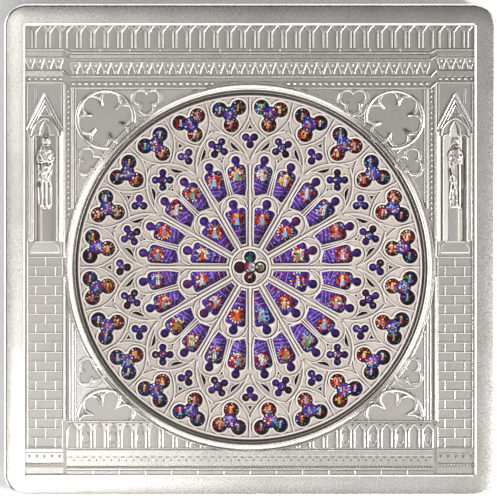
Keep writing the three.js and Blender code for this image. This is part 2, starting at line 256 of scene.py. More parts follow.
class Shell:
    """Closed shells gathered in millimetres, which become one piece of the coin."""

    def __init__(self) -> None:
        """Starts with nothing."""
        self.points: list[Point3] = []
        self.faces: list[tuple[int, ...]] = []
        self.tints: list[Colour] = []
        self.tint: Colour = (1.0, 1.0, 1.0, 1.0)

    def add(self, points: Sequence[Point3], faces: Sequence[tuple[int, ...]]) -> None:
        """Adds one closed shell, turned outside out if its faces run inwards.

        Args:
            points: Its points.
            faces: Its faces, by index into those points.
        """
        volume = 0.0
        for face in faces:
            ax, ay, az = points[face[0]]
            for j in range(1, len(face) - 1):
                bx, by, bz = points[face[j]]
                cx, cy, cz = points[face[j + 1]]
                volume += ax * (by * cz - bz * cy) + ay * (bz * cx - bx * cz)
                volume += az * (bx * cy - by * cx)
        base = len(self.points)
        self.points.extend(points)
        self.tints.extend([self.tint] * len(points))
        step = 1 if volume > 0 else -1
        self.faces.extend(tuple(base + i for i in face[::step]) for face in faces)

    def loft(self, rings: Sequence[Sequence[Point3]], looped: bool = False) -> None:
        """Skins rings of equal count; a looped loft closes on its first ring.

        Args:
            rings: The rings in order, each a closed row of points.
            looped: Whether the last ring joins the first instead of being capped.
        """
        count = len(rings[0])
        points = [p for ring in rings for p in ring]
        faces: list[tuple[int, ...]] = []
        for r in range(len(rings) if looped else len(rings) - 1):
            a, b = r * count, ((r + 1) % len(rings)) * count
            for i in range(count):
                j = (i + 1) % count
                faces.append((a + i, a + j, b + j, b + i))
        if not looped:
            faces.append(tuple(range(count))[::-1])
            last = (len(rings) - 1) * count
            faces.append(tuple(range(last, last + count)))
        self.add(points, faces)

    def sweep(self, path: Sequence[Point], section: Sequence[Point], closed: bool = False) -> None:
        """Runs a cross-section along a path.

        Args:
            path: Where it goes.
            section: Closed row of (distance to the left, height) points.
            closed: Whether the path closes on itself.
        """
        normals = side_normals(path, closed)
        rings = [[(x + nx * u, y + ny * u, z) for u, z in section]
                 for (x, y), (nx, ny) in zip(path, normals)]
        self.loft(rings, looped=closed)

    def rib(self, path: Sequence[Point], width: float, top: float, foot: float = ROOT_Z,
            closed: bool = False) -> None:
        """A round-backed rib along a path.

        Args:
            path: Its middle line.
            width: Width at its foot.
            top: Height of its back.
            foot: Height that it starts from.
            closed: Whether it closes on itself.
        """
        half = width / 2
        crown = ((1.0, 0.42), (0.6, 0.12), (0.0, 0.0), (-0.6, 0.12), (-1.0, 0.42))
        section = [(half, foot), *((half * out, top - half * drop) for out, drop in crown),
                   (-half, foot)]
        self.sweep(path, section, closed)

    def clear_rib(self, path: Sequence[Point], width: float, top: float,
                  radius: float = RING_OUTER) -> None:
        """A rib that stops where it meets the ring moulding."""
        for run in outside_rose(path, radius):
            self.rib(run, width, top)

    def prism(self, outline: Sequence[Point], top: float, bevel: float) -> None:
        """A raised flat shape with a bevelled edge.

        Args:
            outline: Its closed outline.
            top: Height of its face.
            bevel: Width of the bevel, a little more than its depth.
        """
        points = list(outline) if signed_area(outline) > 0 else list(outline)[::-1]
        normals = side_normals(points, True)
        inner = [(x + nx * bevel, y + ny * bevel) for (x, y), (nx, ny) in zip(points, normals)]
        edge = top - bevel * 0.75
        self.loft([[(x, y, ROOT_Z) for x, y in points], [(x, y, edge) for x, y in points],
                   [(x, y, top) for x, y in inner]])

    def mound(self, x: float, y: float, across: float, along: float, top: float,
              turn: float = 0.0, sides: int = 8) -> None:
        """A low oval mound, such as a bead, a leaf lobe or a bud.

        Args:
            x: Middle across.
            y: Middle up.
            across: Half its width.
            along: Half its length.
            top: Height of its crown.
            turn: Turn of the oval in degrees.
            sides: Points round it.
        """
        rise = top - ROOT_Z
        rings = []
        for share, level in ((1.0, 0.0), (0.97, 0.45), (0.8, 0.75), (0.5, 0.93), (0.16, 1.0)):
            oval = [(px * across * share, py * along * share) for px, py in circle(0, 0, 1, sides)]
            rings.append([(px + x, py + y, ROOT_Z + rise * level)
                          for px, py in turned(oval, turn)])
        self.loft(rings)

    def pierced(self, outer: Path, holes: Sequence[Path], foot: float, top: float) -> None:
        """A slab with holes right through.

        Args:
            outer: Its outline.
            holes: The outlines of its holes.
            foot: Height of its underside.
            top: Height of its face.
        """
        curve = bpy.data.curves.new("slab_outline", "CURVE")
        curve.dimensions = "2D"
        curve.fill_mode = "BOTH"
        curve.extrude = (top - foot) / 2
        for outline in [outer, *holes]:
            spline = curve.splines.new("POLY")
            spline.points.add(len(outline) - 1)
            spline.points.foreach_set("co", [v for x, y in outline for v in (x, y, 0.0, 1.0)])
            spline.use_cyclic_u = True
        holder = bpy.data.objects.new("slab_outline", curve)
        mesh = bpy.data.meshes.new_from_object(holder)
        work = bmesh.new()
        work.from_mesh(mesh)
        bmesh.ops.remove_doubles(work, verts=work.verts, dist=1e-4)
        work.verts.index_update()
        lift = (top + foot) / 2
        points = [(v.co.x, v.co.y, v.co.z + lift) for v in work.verts]
        self.add(points, [tuple(v.index for v in f.verts) for f in work.faces])
        work.free()
        bpy.data.objects.remove(holder)
        bpy.data.curves.remove(curve)
        bpy.data.meshes.remove(mesh)

    def piece(self, name: str, material: bpy.types.Material, slot: str,
              replaces: Sequence[str] = (), crease: float = 32.0) -> bpy.types.Object:
        """Turns the shells into one object of the coin.

        Args:
            name: Name of the piece.
            material: Its finish.
            slot: The record's slot that the finish comes from; not used.
            replaces: CAD nodes that it stands for.
            crease: Angle in degrees past which an edge stays sharp.

        Returns:
            The new object, riding on the coin.
        """
        mesh = bpy.data.meshes.new(name)
        mesh.from_pydata([(x * MM, y * MM, z * MM) for x, y, z in self.points], [], self.faces)
        mesh.shade_smooth()
        mesh.set_sharp_from_angle(angle=math.radians(crease))
        if any(tint != self.tints[0] for tint in self.tints):
            layer = mesh.color_attributes.new("glass_tint", "FLOAT_COLOR", "POINT")
            layer.data.foreach_set("color", [v for tint in self.tints for v in tint])
        mesh.materials.append(material)
        item = bpy.data.objects.new(name, mesh)
        bpy.context.scene.collection.objects.link(item)
        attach(item, "root")
        if replaces:
            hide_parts(*replaces)
        LOG.info("%s: %d points, %d faces", name, len(mesh.vertices), len(mesh.polygons))
        return item


# ------------------------------------------------------------------ finishes


def linear(hex_colour: str) -> Colour:
    """An sRGB hex colour as linear RGBA.

    Args:
        hex_colour: Six hex digits.

    Returns:
        Linear red, green, blue and a full alpha.
    """
    channels = [int(hex_colour[i:i + 2], 16) / 255 for i in (0, 2, 4)]
    red, green, blue = (c / 12.92 if c <= 0.04045 else ((c + 0.055) / 1.055) ** 2.4
                        for c in channels)
    return (red, green, blue, 1.0)


# Numbers of a Mix node's colour sockets, which share their names with its other sockets.
MIX_A, MIX_B, MIX_COLOUR = 6, 7, 2


def per_mm(size: float) -> float:
    """Texture scale that repeats once every given number of millimetres."""
    return 1 / (size * MM)


def new_material(name: str) -> tuple[bpy.types.Material, bpy.types.NodeTree]:
    """An empty node material.

    Args:
        name: Its name.

    Returns:
        The material and its cleared node tree.
    """
    material = bpy.data.materials.new(name)
    material.use_nodes = True
    material.node_tree.nodes.clear()
    return material, material.node_tree


def add_node(tree: bpy.types.NodeTree, kind: str, settings: dict | None = None,
             sockets: dict | None = None) -> bpy.types.Node:
    """Adds a node with its settings, values and links.

    Args:
        tree: The node tree.
        kind: Blender's name of the node type.
        settings: Properties of the node.
        sockets: Input values, or output sockets to link from.

    Returns:
        The new node.
    """
    node = tree.nodes.new(kind)
    for name, value in (settings or {}).items():
        setattr(node, name, value)
    for name, value in (sockets or {}).items():
        if isinstance(value, bpy.types.NodeSocket):
            tree.links.new(value, node.inputs[name])
        else:
            node.inputs[name].default_value = value
    return node


def height_share(tree: bpy.types.NodeTree, low: float, high: float) -> bpy.types.NodeSocket:
    """How far a point stands between two levels of the coin, from 0 to 1.

    Args:
        tree: The node tree.
        low: The lower level in millimetres.
        high: The upper level in millimetres.

    Returns:
        The socket that gives the share.
    """
    place = add_node(tree, "ShaderNodeTexCoord").outputs["Object"]
    height = add_node(tree, "ShaderNodeSeparateXYZ", {}, {"Vector": place}).outputs["Z"]
    return add_node(tree, "ShaderNodeMapRange", {}, {
        "Value": height, "From Min": low * MM, "From Max": high * MM,
    }).outputs["Result"]


def painted_corner_shade(tree: bpy.types.NodeTree, tone: bpy.types.NodeSocket, stain_and_shade: str, reach: float,
                strength: float, start: float) -> bpy.types.NodeSocket:
    """Painted shade: a tone darkened in inner corners, where the ambient occlusion finds them.

    Args:
        tree: The node tree.
        tone: The tone on the open surface.
        stain_and_shade: Hex colour of the painted shade in the corner.
        reach: How far the painted shade spreads from the corner, in millimetres.
        strength: How much of the tone it covers.
        start: Openness below which it is at full strength.

    Returns:
        The socket with the new tone.
    """
    openness = add_node(tree, "ShaderNodeAmbientOcclusion", {"samples": 6}, {
        "Distance": reach * MM}).outputs["AO"]
    corner_shade_share = add_node(tree, "ShaderNodeMapRange", {}, {
        "Value": openness, "From Min": start, "From Max": 0.85, "To Min": strength, "To Max": 0.0,
    }).outputs["Result"]
    return add_node(tree, "ShaderNodeMix", {"data_type": "RGBA"}, {
        "Factor": corner_shade_share, MIX_A: tone, MIX_B: linear(stain_and_shade),
    }).outputs[MIX_COLOUR]


@dataclass(frozen=True)
class StruckSilver:
    """Fine silver, struck and sandblasted: a soft grey-white sheen, greyer in its hollows from
    tarnish and painted shade, with painted shade in its inner corners.
    """

    name: str = "struck_fine_silver"
    crown: str = "F8F4EE"
    hollow: str = "CBC6C1"
    stain_and_shade: str = "D9D2CA"
    crevice_shade: str = "4A443F"
    crevice_reach: float = 0.3
    crevice_strength: float = 0.4
    hollow_level: float = 4.24
    crown_level: float = 4.5
    roughness: float = 0.25
    hollow_roughness: float = 0.34
    haze: float = 6.0
    grit_spread: float = 0.05
    grit: float = 0.11
    grit_depth: float = 0.006

    def build(self) -> bpy.types.Material:
        """Makes the material."""
        material, tree = new_material(self.name)
        place = add_node(tree, "ShaderNodeTexCoord").outputs["Object"]
        level = height_share(tree, self.hollow_level, self.crown_level)
        # Tarnish and painted shade in the hollows: the sunk ground is painted greyer than the ribs,
        # partly as tarnish and partly as the shade that falls there.
        tone = add_node(tree, "ShaderNodeMix", {"data_type": "RGBA"}, {
            "Factor": level, MIX_A: linear(self.hollow), MIX_B: linear(self.crown),
        }).outputs[MIX_COLOUR]
        # Painted shade in inner corners: a brown-grey line beside each rib, where the ambient
        # occlusion finds a corner.
        tone = painted_corner_shade(tree, tone, self.crevice_shade, self.crevice_reach, self.crevice_strength,
                           0.45)
        # Handling haze over several millimetres, so that broad flats aren't one tone.
        haze = add_node(tree, "ShaderNodeTexNoise", {}, {
            "Vector": place, "Scale": per_mm(self.haze), "Detail": 3.0, "Roughness": 0.6,
        }).outputs["Fac"]
        haze_mask = add_node(tree, "ShaderNodeMapRange", {}, {
            "Value": haze, "From Min": 0.45, "From Max": 0.75, "To Max": 0.5,
        }).outputs["Result"]
        colour = add_node(tree, "ShaderNodeMix", {"data_type": "RGBA"}, {
            "Factor": haze_mask, MIX_A: tone, MIX_B: linear(self.stain_and_shade),
        }).outputs[MIX_COLOUR]
        # Sandblast grit: a fine tooth that scatters the light, coarser in the sunk ground.
        grit = add_node(tree, "ShaderNodeTexNoise", {}, {
            "Vector": place, "Scale": per_mm(self.grit), "Detail": 2.0, "Roughness": 0.55,
        }).outputs["Fac"]
        rough = add_node(tree, "ShaderNodeMapRange", {}, {
            "Value": grit, "From Min": 0.3, "From Max": 0.7,
            "To Min": -self.grit_spread, "To Max": self.grit_spread,
        }).outputs["Result"]
        polish = add_node(tree, "ShaderNodeMapRange", {}, {
            "Value": level, "To Min": self.hollow_roughness, "To Max": self.roughness,
        }).outputs["Result"]
        rough = add_node(tree, "ShaderNodeMath", {"operation": "ADD"}, {
            0: polish, 1: rough}).outputs["Value"]
        bump = add_node(tree, "ShaderNodeBump", {}, {
            "Height": grit, "Strength": 0.6, "Distance": self.grit_depth * MM,
        }).outputs["Normal"]
        shader = add_node(tree, "ShaderNodeBsdfPrincipled", {}, {
            "Base Color": colour, "Metallic": 1.0, "Roughness": rough, "Normal": bump,
        })
        add_node(tree, "ShaderNodeOutputMaterial", {}, {"Surface": shader.outputs["BSDF"]})
        return material


@dataclass(frozen=True)
class IvoryEnamel:
    """Ivory lacquer on cut metal: a matte warm white, with painted shade on its sunk ground, on its
    openings' walls and beside its mouldings.
    """

    name: str = "ivory_enamel"
    crown: str = "DCD3CC"
    groove: str = "BFB4AB"
    corner_shade: str = "4A3C36"
    corner_shade_reach: float = 0.2
    corner_shade_strength: float = 0.8
    groove_level: float = 4.3
    crown_level: float = 4.42
    roughness: float = 0.5
    orange_peel: float = 0.25

    def build(self) -> bpy.types.Material:
        """Makes the material."""
        material, tree = new_material(self.name)
        place = add_node(tree, "ShaderNodeTexCoord").outputs["Object"]
        # Painted shade: the sunk ground and the walls of the openings take the darker groove tone,
        # the raised mouldings the crown tone.
        level = height_share(tree, self.groove_level, self.crown_level)
        tone = add_node(tree, "ShaderNodeMix", {"data_type": "RGBA"}, {
            "Factor": level, MIX_A: linear(self.groove), MIX_B: linear(self.crown),
        }).outputs[MIX_COLOUR]
        # Painted shade beside the mouldings: a brown tone where the ambient occlusion finds an
        # inner corner.
        tone = painted_corner_shade(tree, tone, self.corner_shade, self.corner_shade_reach, self.corner_shade_strength, 0.5)
        peel = add_node(tree, "ShaderNodeTexNoise", {}, {
            "Vector": place, "Scale": per_mm(self.orange_peel), "Detail": 2.0,
        }).outputs["Fac"]
        # Thin spots in the lacquer: faint warm clouds.
        thin = add_node(tree, "ShaderNodeMapRange", {}, {
            "Value": peel, "From Min": 0.4, "From Max": 0.8, "To Max": 0.25,
        }).outputs["Result"]
        colour = add_node(tree, "ShaderNodeMix", {"data_type": "RGBA"}, {
            "Factor": thin, MIX_A: tone, MIX_B: linear(self.groove),
        }).outputs[MIX_COLOUR]
        bump = add_node(tree, "ShaderNodeBump", {}, {
            "Height": peel, "Strength": 0.25, "Distance": 0.01 * MM,
        }).outputs["Normal"]
        shader = add_node(tree, "ShaderNodeBsdfPrincipled", {}, {
            "Base Color": colour, "Metallic": 0.0, "Roughness": self.roughness, "Normal": bump,
            "IOR": 1.5,
        })
        add_node(tree, "ShaderNodeOutputMaterial", {}, {"Surface": shader.outputs["BSDF"]})
        return material


@dataclass(frozen=True)
class StainedGlass:
    """Pot-metal glass in leads: deep wet colour that shifts a little within each quarry."""

    name: str = "stained_glass"
    streak: float = 0.35
    roughness: float = 0.16

    def build(self) -> bpy.types.Material:
        """Makes the material."""
        material, tree = new_material(self.name)
        place = add_node(tree, "ShaderNodeTexCoord").outputs["Object"]
        tint = add_node(tree, "ShaderNodeAttribute", {"attribute_name": "glass_tint"})
        # Reams in the glass: lighter and darker streaks a third of a millimetre apart.
        ream = add_node(tree, "ShaderNodeTexNoise", {}, {
            "Vector": place, "Scale": per_mm(self.streak), "Detail": 3.0, "Distortion": 0.6,
        }).outputs["Fac"]
        shade = add_node(tree, "ShaderNodeMapRange", {}, {
            "Value": ream, "From Min": 0.3, "From Max": 0.7, "To Min": 0.72, "To Max": 1.3,
        }).outputs["Result"]
        colour = add_node(tree, "ShaderNodeVectorMath", {"operation": "SCALE"}, {
            0: tint.outputs["Color"], "Scale": shade,
        }).outputs["Vector"]
        bump = add_node(tree, "ShaderNodeBump", {}, {
            "Height": ream, "Strength": 0.3, "Distance": 0.02 * MM,
        }).outputs["Normal"]
        shader = add_node(tree, "ShaderNodeBsdfPrincipled", {}, {
            "Base Color": colour, "Metallic": 0.0, "Roughness": self.roughness, "IOR": 1.52,
            "Normal": bump,
        })
        add_node(tree, "ShaderNodeOutputMaterial", {}, {"Surface": shader.outputs["BSDF"]})
        return material


@dataclass(frozen=True)
class StudioPaper:
    """White seamless paper: an even, matte, pale ground."""

    name: str = "studio_paper"
    colour: str = "FAFAFA"

    def build(self) -> bpy.types.Material:
        """Makes the material."""
        material, tree = new_material(self.name)
        shader = add_node(tree, "ShaderNodeBsdfPrincipled", {}, {
            "Base Color": linear(self.colour), "Roughness": 0.9,
        })
        add_node(tree, "ShaderNodeOutputMaterial", {}, {"Surface": shader.outputs["BSDF"]})
        return material


# ------------------------------------------------------------ pierced shapes


@dataclass
class Light:
    """One opening, as a union of round and straight-sided parts seen from its own middle."""

    middle: Point
    rounds: list[tuple[float, float, float]] = field(default_factory=list)
    panes: list[Path] = field(default_factory=list)

    def moved(self, side: int, degrees: float, dx: float = 0.0, dy: float = 0.0) -> "Light":
        """The same opening mirrored, turned about the origin and then shifted.

        Args:
            side: -1 mirrors it left to right, 1 doesn't.
            degrees: Turn.
            dx: Shift across.
            dy: Shift up.

        Returns:
            The new opening.
        """
        def place(points: Iterable[Point]) -> Path:
            """Points of the opening in their new place."""
            return shifted(turned(flipped(points, side), degrees), dx, dy)

        rounds = [(*place([(x, y)])[0], r) for x, y, r in self.rounds]
        return Light(place([self.middle])[0], rounds, [place(p) for p in self.panes])

    def reach(self, angle: float, grow: float) -> float:
        """Distance from the middle to the edge in one direction, with the edge moved out.

        Args:
            angle: Direction in radians.
            grow: How far the edge is moved out.

        Returns:
            The distance.
        """
        ux, uy = math.cos(angle), math.sin(angle)
        mx, my = self.middle
        best = 0.02
        for x, y, radius in self.rounds:
            along = (x - mx) * ux + (y - my) * uy
            off = (x - mx) * uy - (y - my) * ux
            inside = (radius + grow) ** 2 - off * off
            if inside > 0:
                best = max(best, along + math.sqrt(inside))
        for pane in self.panes:
            turn = 1 if signed_area(pane) > 0 else -1
            enter, leave = 0.0, 1e9
            for (x0, y0), (x1, y1) in zip(pane, [*pane[1:], pane[0]]):
                length = math.hypot(x1 - x0, y1 - y0)
                nx, ny = turn * (y1 - y0) / length, turn * (x0 - x1) / length
                gap = (x0 - mx) * nx + (y0 - my) * ny + grow
                facing = ux * nx + uy * ny
                if facing > 1e-9:
                    leave = min(leave, gap / facing)
                elif facing < -1e-9:
                    enter = max(enter, gap / facing)
                elif gap < 0:
                    leave = -1.0
            if leave > enter:
                best = max(best, leave)
        return best

    def directions(self, tolerance: float = 0.006) -> list[float]:
        """The directions in which an outline needs a point, corners kept.

        Args:
            tolerance: How far a chord may miss the true edge.

        Returns:
            Angles in radians, rising.
        """
        count = 540
        angles = [2 * math.pi * i / count for i in range(count)]
        edge = []
        for a in angles:
            r = self.reach(a, 0.0)
            edge.append((r * math.cos(a), r * math.sin(a)))
        edge.append(edge[0])
        keep = {0, count}
        stack = [(0, count // 3), (count // 3, 2 * count // 3), (2 * count // 3, count)]
        while stack:
            first, last = stack.pop()
            keep.update((first, last))
            (x0, y0), (x1, y1) = edge[first], edge[last]
            length = math.hypot(x1 - x0, y1 - y0) or 1e-9
            worst, at = tolerance, None
            for i in range(first + 1, last):
                miss = abs((edge[i][0] - x0) * (y1 - y0) - (edge[i][1] - y0) * (x1 - x0)) / length
                if miss > worst:
                    worst, at = miss, i
            if at is not None:
                stack += [(first, at), (at, last)]
        keep.discard(count)
        return [angles[i] for i in sorted(keep)]

    def outline(self, grow: float, directions: Sequence[float]) -> Path:
        """The edge, moved out by grow, in the given directions."""
        mx, my = self.middle
        edge = []
        for a in directions:
            r = self.reach(a, grow)
            edge.append((mx + r * math.cos(a), my + r * math.sin(a)))
        return edge


def foil(x: float, y: float, lobes: int, reach: float, lobe: float, heart: float,
         turn: float) -> Light:
    """A foiled opening: round lobes about a round heart.

    Args:
        x: Middle across.
        y: Middle up.
        lobes: Number of lobes.
        reach: Distance of the lobes' middles.
        lobe: Radius of a lobe.
        heart: Radius of the heart.
        turn: Direction of the first lobe in degrees.

    Returns:
        The opening.
    """
    rounds = [(x, y, heart)]
    for i in range(lobes):
        a = math.radians(turn + 360 * i / lobes)
        rounds.append((x + reach * math.cos(a), y + reach * math.sin(a), lobe))
    return Light((x, y), rounds)


@dataclass(frozen=True)
class Lip:
    """Moulding round an opening, as (distance out, height) steps from its inner foot."""

    steps: tuple[Point, ...]
    foot: float

    def around(self, shell: Shell, light: Light, scale: float = 1.0) -> None:
        """Adds the moulding round one opening.

        Args:
            shell: Where it goes.
            light: The opening.
            scale: Shrinks its width.
        """
        directions = light.directions()
        inner = light.outline(0.0, directions)
        rings = [[(x, y, self.foot) for x, y in inner]]
        for out, height in self.steps:
            rings.append([(x, y, height) for x, y in light.outline(out * scale, directions)])
        outer = light.outline(self.steps[-1][0] * scale, directions)
        rings.append([(x, y, self.foot) for x, y in outer])
        shell.loft(rings, looped=True)


# ------------------------------------------------------------------- tracery


class LightKind(Enum):
    """The kinds of opening in the rose."""

    HUB = "hub"
    INNER_PETAL = "inner_petal"
    OUTER_PETAL = "outer_petal"
    QUATREFOIL = "quatrefoil"
    TREFOIL = "trefoil"
    SMALL_TREFOIL = "small_trefoil"
    SLIP = "slip"
    WEDGE = "wedge"
    EYELET = "eyelet"


@dataclass(frozen=True)
class Opening:
    """One opening of the rose, with the side and turn that its pattern was laid at."""

    kind: LightKind
    side: int
    turn: float
    light: Light
    lip_scale: float


@dataclass
class RoseTracery:
    """The pierced rose: twelve spokes, two rings of petals and an outer ring of foils."""

    sectors: int = 12
    ground: float = 4.33
    lip: Lip = Lip(((0.0, 4.4), (0.08, 4.5), (0.2, 4.52), (0.3, 4.31)), GLASS_TOP)

    def templates(self) -> list[tuple[LightKind, Light, tuple[tuple[int, float], ...], float]]:
        """Each kind of opening on a sector whose axis is +Y.

        Returns:
            Kind, opening, its (side, turn) copies within a sector and the scale of its lip.
        """
        one, both = ((1, 0.0),), ((1, 0.0), (-1, 0.0))
        shoulder = [(1.29, 6.88), (1.24, 7.08), (1.1, 7.23), (0.88, 7.3)]
        petal = [(0.3, 2.92), *shoulder, *flipped(shoulder[::-1], -1), (-0.3, 2.92)]
        inner = Light((0.0, 6.9), [(0.0, 7.93, 0.56)], [petal, box(-0.36, 6.9, 0.36, 7.9)])
        body = [(0.365, 9.2), (0.32, 11.85), (0.42, 12.2), (0.72, 12.42), (2.2, 12.42),
                (2.5, 12.2), (2.6, 11.8), (2.17, 9.74), (1.67, 8.56)]
        outer = Light((1.67, 12.0), [(1.67, 13.06, 0.535)], [body, box(1.34, 12.0, 2.0, 13.0)])
        slip = Light((1.93, 14.6), [], [[(1.67, 15.35), (1.58, 15.1), (1.62, 14.8), (1.74, 14.54),
                                         (2.04, 14.25), (2.49, 13.93), (2.26, 14.43),
                                         (1.98, 14.9)]])
        wedge = Light((0.0, 17.08), [], [[(-0.26, 16.93), (0.26, 16.93), (0.0, 17.4)]])
        return [
            (LightKind.INNER_PETAL, inner, one, 1.0),
            (LightKind.OUTER_PETAL, outer, both, 1.0),
            (LightKind.QUATREFOIL, foil(0, 15.05, 4, 0.89, 0.46, 0.58, 45), one, 0.9),
            (LightKind.EYELET, Light((0.0, 13.36), [(0.0, 13.36, 0.13)]), one, 0.5),
            (LightKind.SLIP, slip, both, 0.55),
            (LightKind.TREFOIL, foil(0, 18.86, 3, 1.33, 0.94, 0.92, -90), ((1, 7.5), (1, -7.5)),
             1.0),
            (LightKind.SMALL_TREFOIL, foil(0, 15.57, 3, 0.6, 0.48, 0.4, -90), ((1, 15.0),), 0.9),
            (LightKind.WEDGE, wedge, ((1, 15.0),), 0.6),
        ]

    def openings(self) -> list[Opening]:
        """Every opening of the rose about its own middle."""
        found = [Opening(LightKind.HUB, 1, 0.0, foil(0, 0, 4, 1.24, 0.74, 0.79, 0), 1.0)]
        for kind, light, copies, scale in self.templates():
            for k in range(self.sectors):
                axis = (k + 0.5) * 360 / self.sectors
                for side, turn in copies:
                    placed = light.moved(side, axis + turn)
                    found.append(Opening(kind, side, axis + turn, placed, scale))
        return found

    def ribs(self, shell: Shell) -> None:
        """Adds the ribs along spokes, arches, frames, hub and rim.

        Args:
            shell: Where they go.
        """
        foot = self.ground - 0.1
        step = 360 / self.sectors

        def lay(path: Path, turn: float, width: float, top: float) -> None:
            """Adds one rib, turned to its place on the rose."""
            shell.rib(shifted(turned(path, turn), 0, ROSE_Y), width, top, foot)

        frame_edge = [(2.44, 18.54), (2.05, 17.75), (1.5, 17.05), (0.8, 16.4), (0.0, 15.9)]
        for k in range(self.sectors):
            spoke = k * step
            axis = spoke + step / 2
            lay([(0, 2.5), (0, 7), (0, 12.5)], spoke, 0.26, 4.65)
            lay([(0, 9.0), (0, 12.75)], axis, 0.16, 4.58)
            lay(arc(0, 7.36, 1.6, -8, 188, 22), axis, 0.17, 4.58)
            for side in (-1, 1):
                lay(flipped(arc(1.76, 12.47, 4.99, 177.6, 112, 14), side), axis, 0.2, 4.62)
                lay(pointed_arch(side * 1.6, 1.56, 12.66, 14.1, 8), axis, 0.14, 4.54)
                for turn in (axis - step / 4, axis + step / 4):
                    lay(flipped(frame_edge, side), turn, 0.17, 4.58)
                    lay([(side * 2.44, 18.54), (side * 2.7, 20.55)], turn, 0.17, 4.58)
        for radius, width, top in ((2.43, 0.26, 4.65), (2.1, 0.12, 4.5), (20.84, 0.2, 4.56)):
            shell.rib(circle(0, ROSE_Y, radius, 120), width, top, foot, closed=True)

    def build(self, finish: IvoryEnamel) -> None:
        """Builds the rose and dresses it.

        Args:
            finish: Its finish.
        """
        shell = Shell()
        holes = []
        for opening in self.openings():
            placed = opening.light.moved(1, 0.0, 0.0, ROSE_Y)
            self.lip.around(shell, placed, opening.lip_scale)
            holes.append(placed.outline(0.04, placed.directions()))
        shell.pierced(circle(0, ROSE_Y, ROSE_RADIUS, 240), holes, GLASS_TOP, self.ground)
        self.ribs(shell)
        shell.piece("rose_tracery_carved", finish.build(), "ivory_enamel", ["rose_tracery"])


# --------------------------------------------------------------------- glass


class Pane(Enum):
    """Glass colours of the window."""

    LEAD = "0B050E"
    NIGHT = "1C1030"
    INDIGO = "2F2580"
    VIOLET = "6C38AC"
    PURPLE = "4E2880"
    MAGENTA = "74286C"
    LILAC = "A08CD6"
    SKY = "93B8E6"
    COBALT = "3453BC"
    RUBY = "B8242A"
    CRIMSON = "72161E"
    ORANGE = "E25C2C"
    ROSE = "DC9C9A"
    GOLD = "DDB650"
    CREAM = "F2E8DE"
    LEAF = "4A9C5A"
    MAROON = "451414"
    TEAL = "2C6C7E"


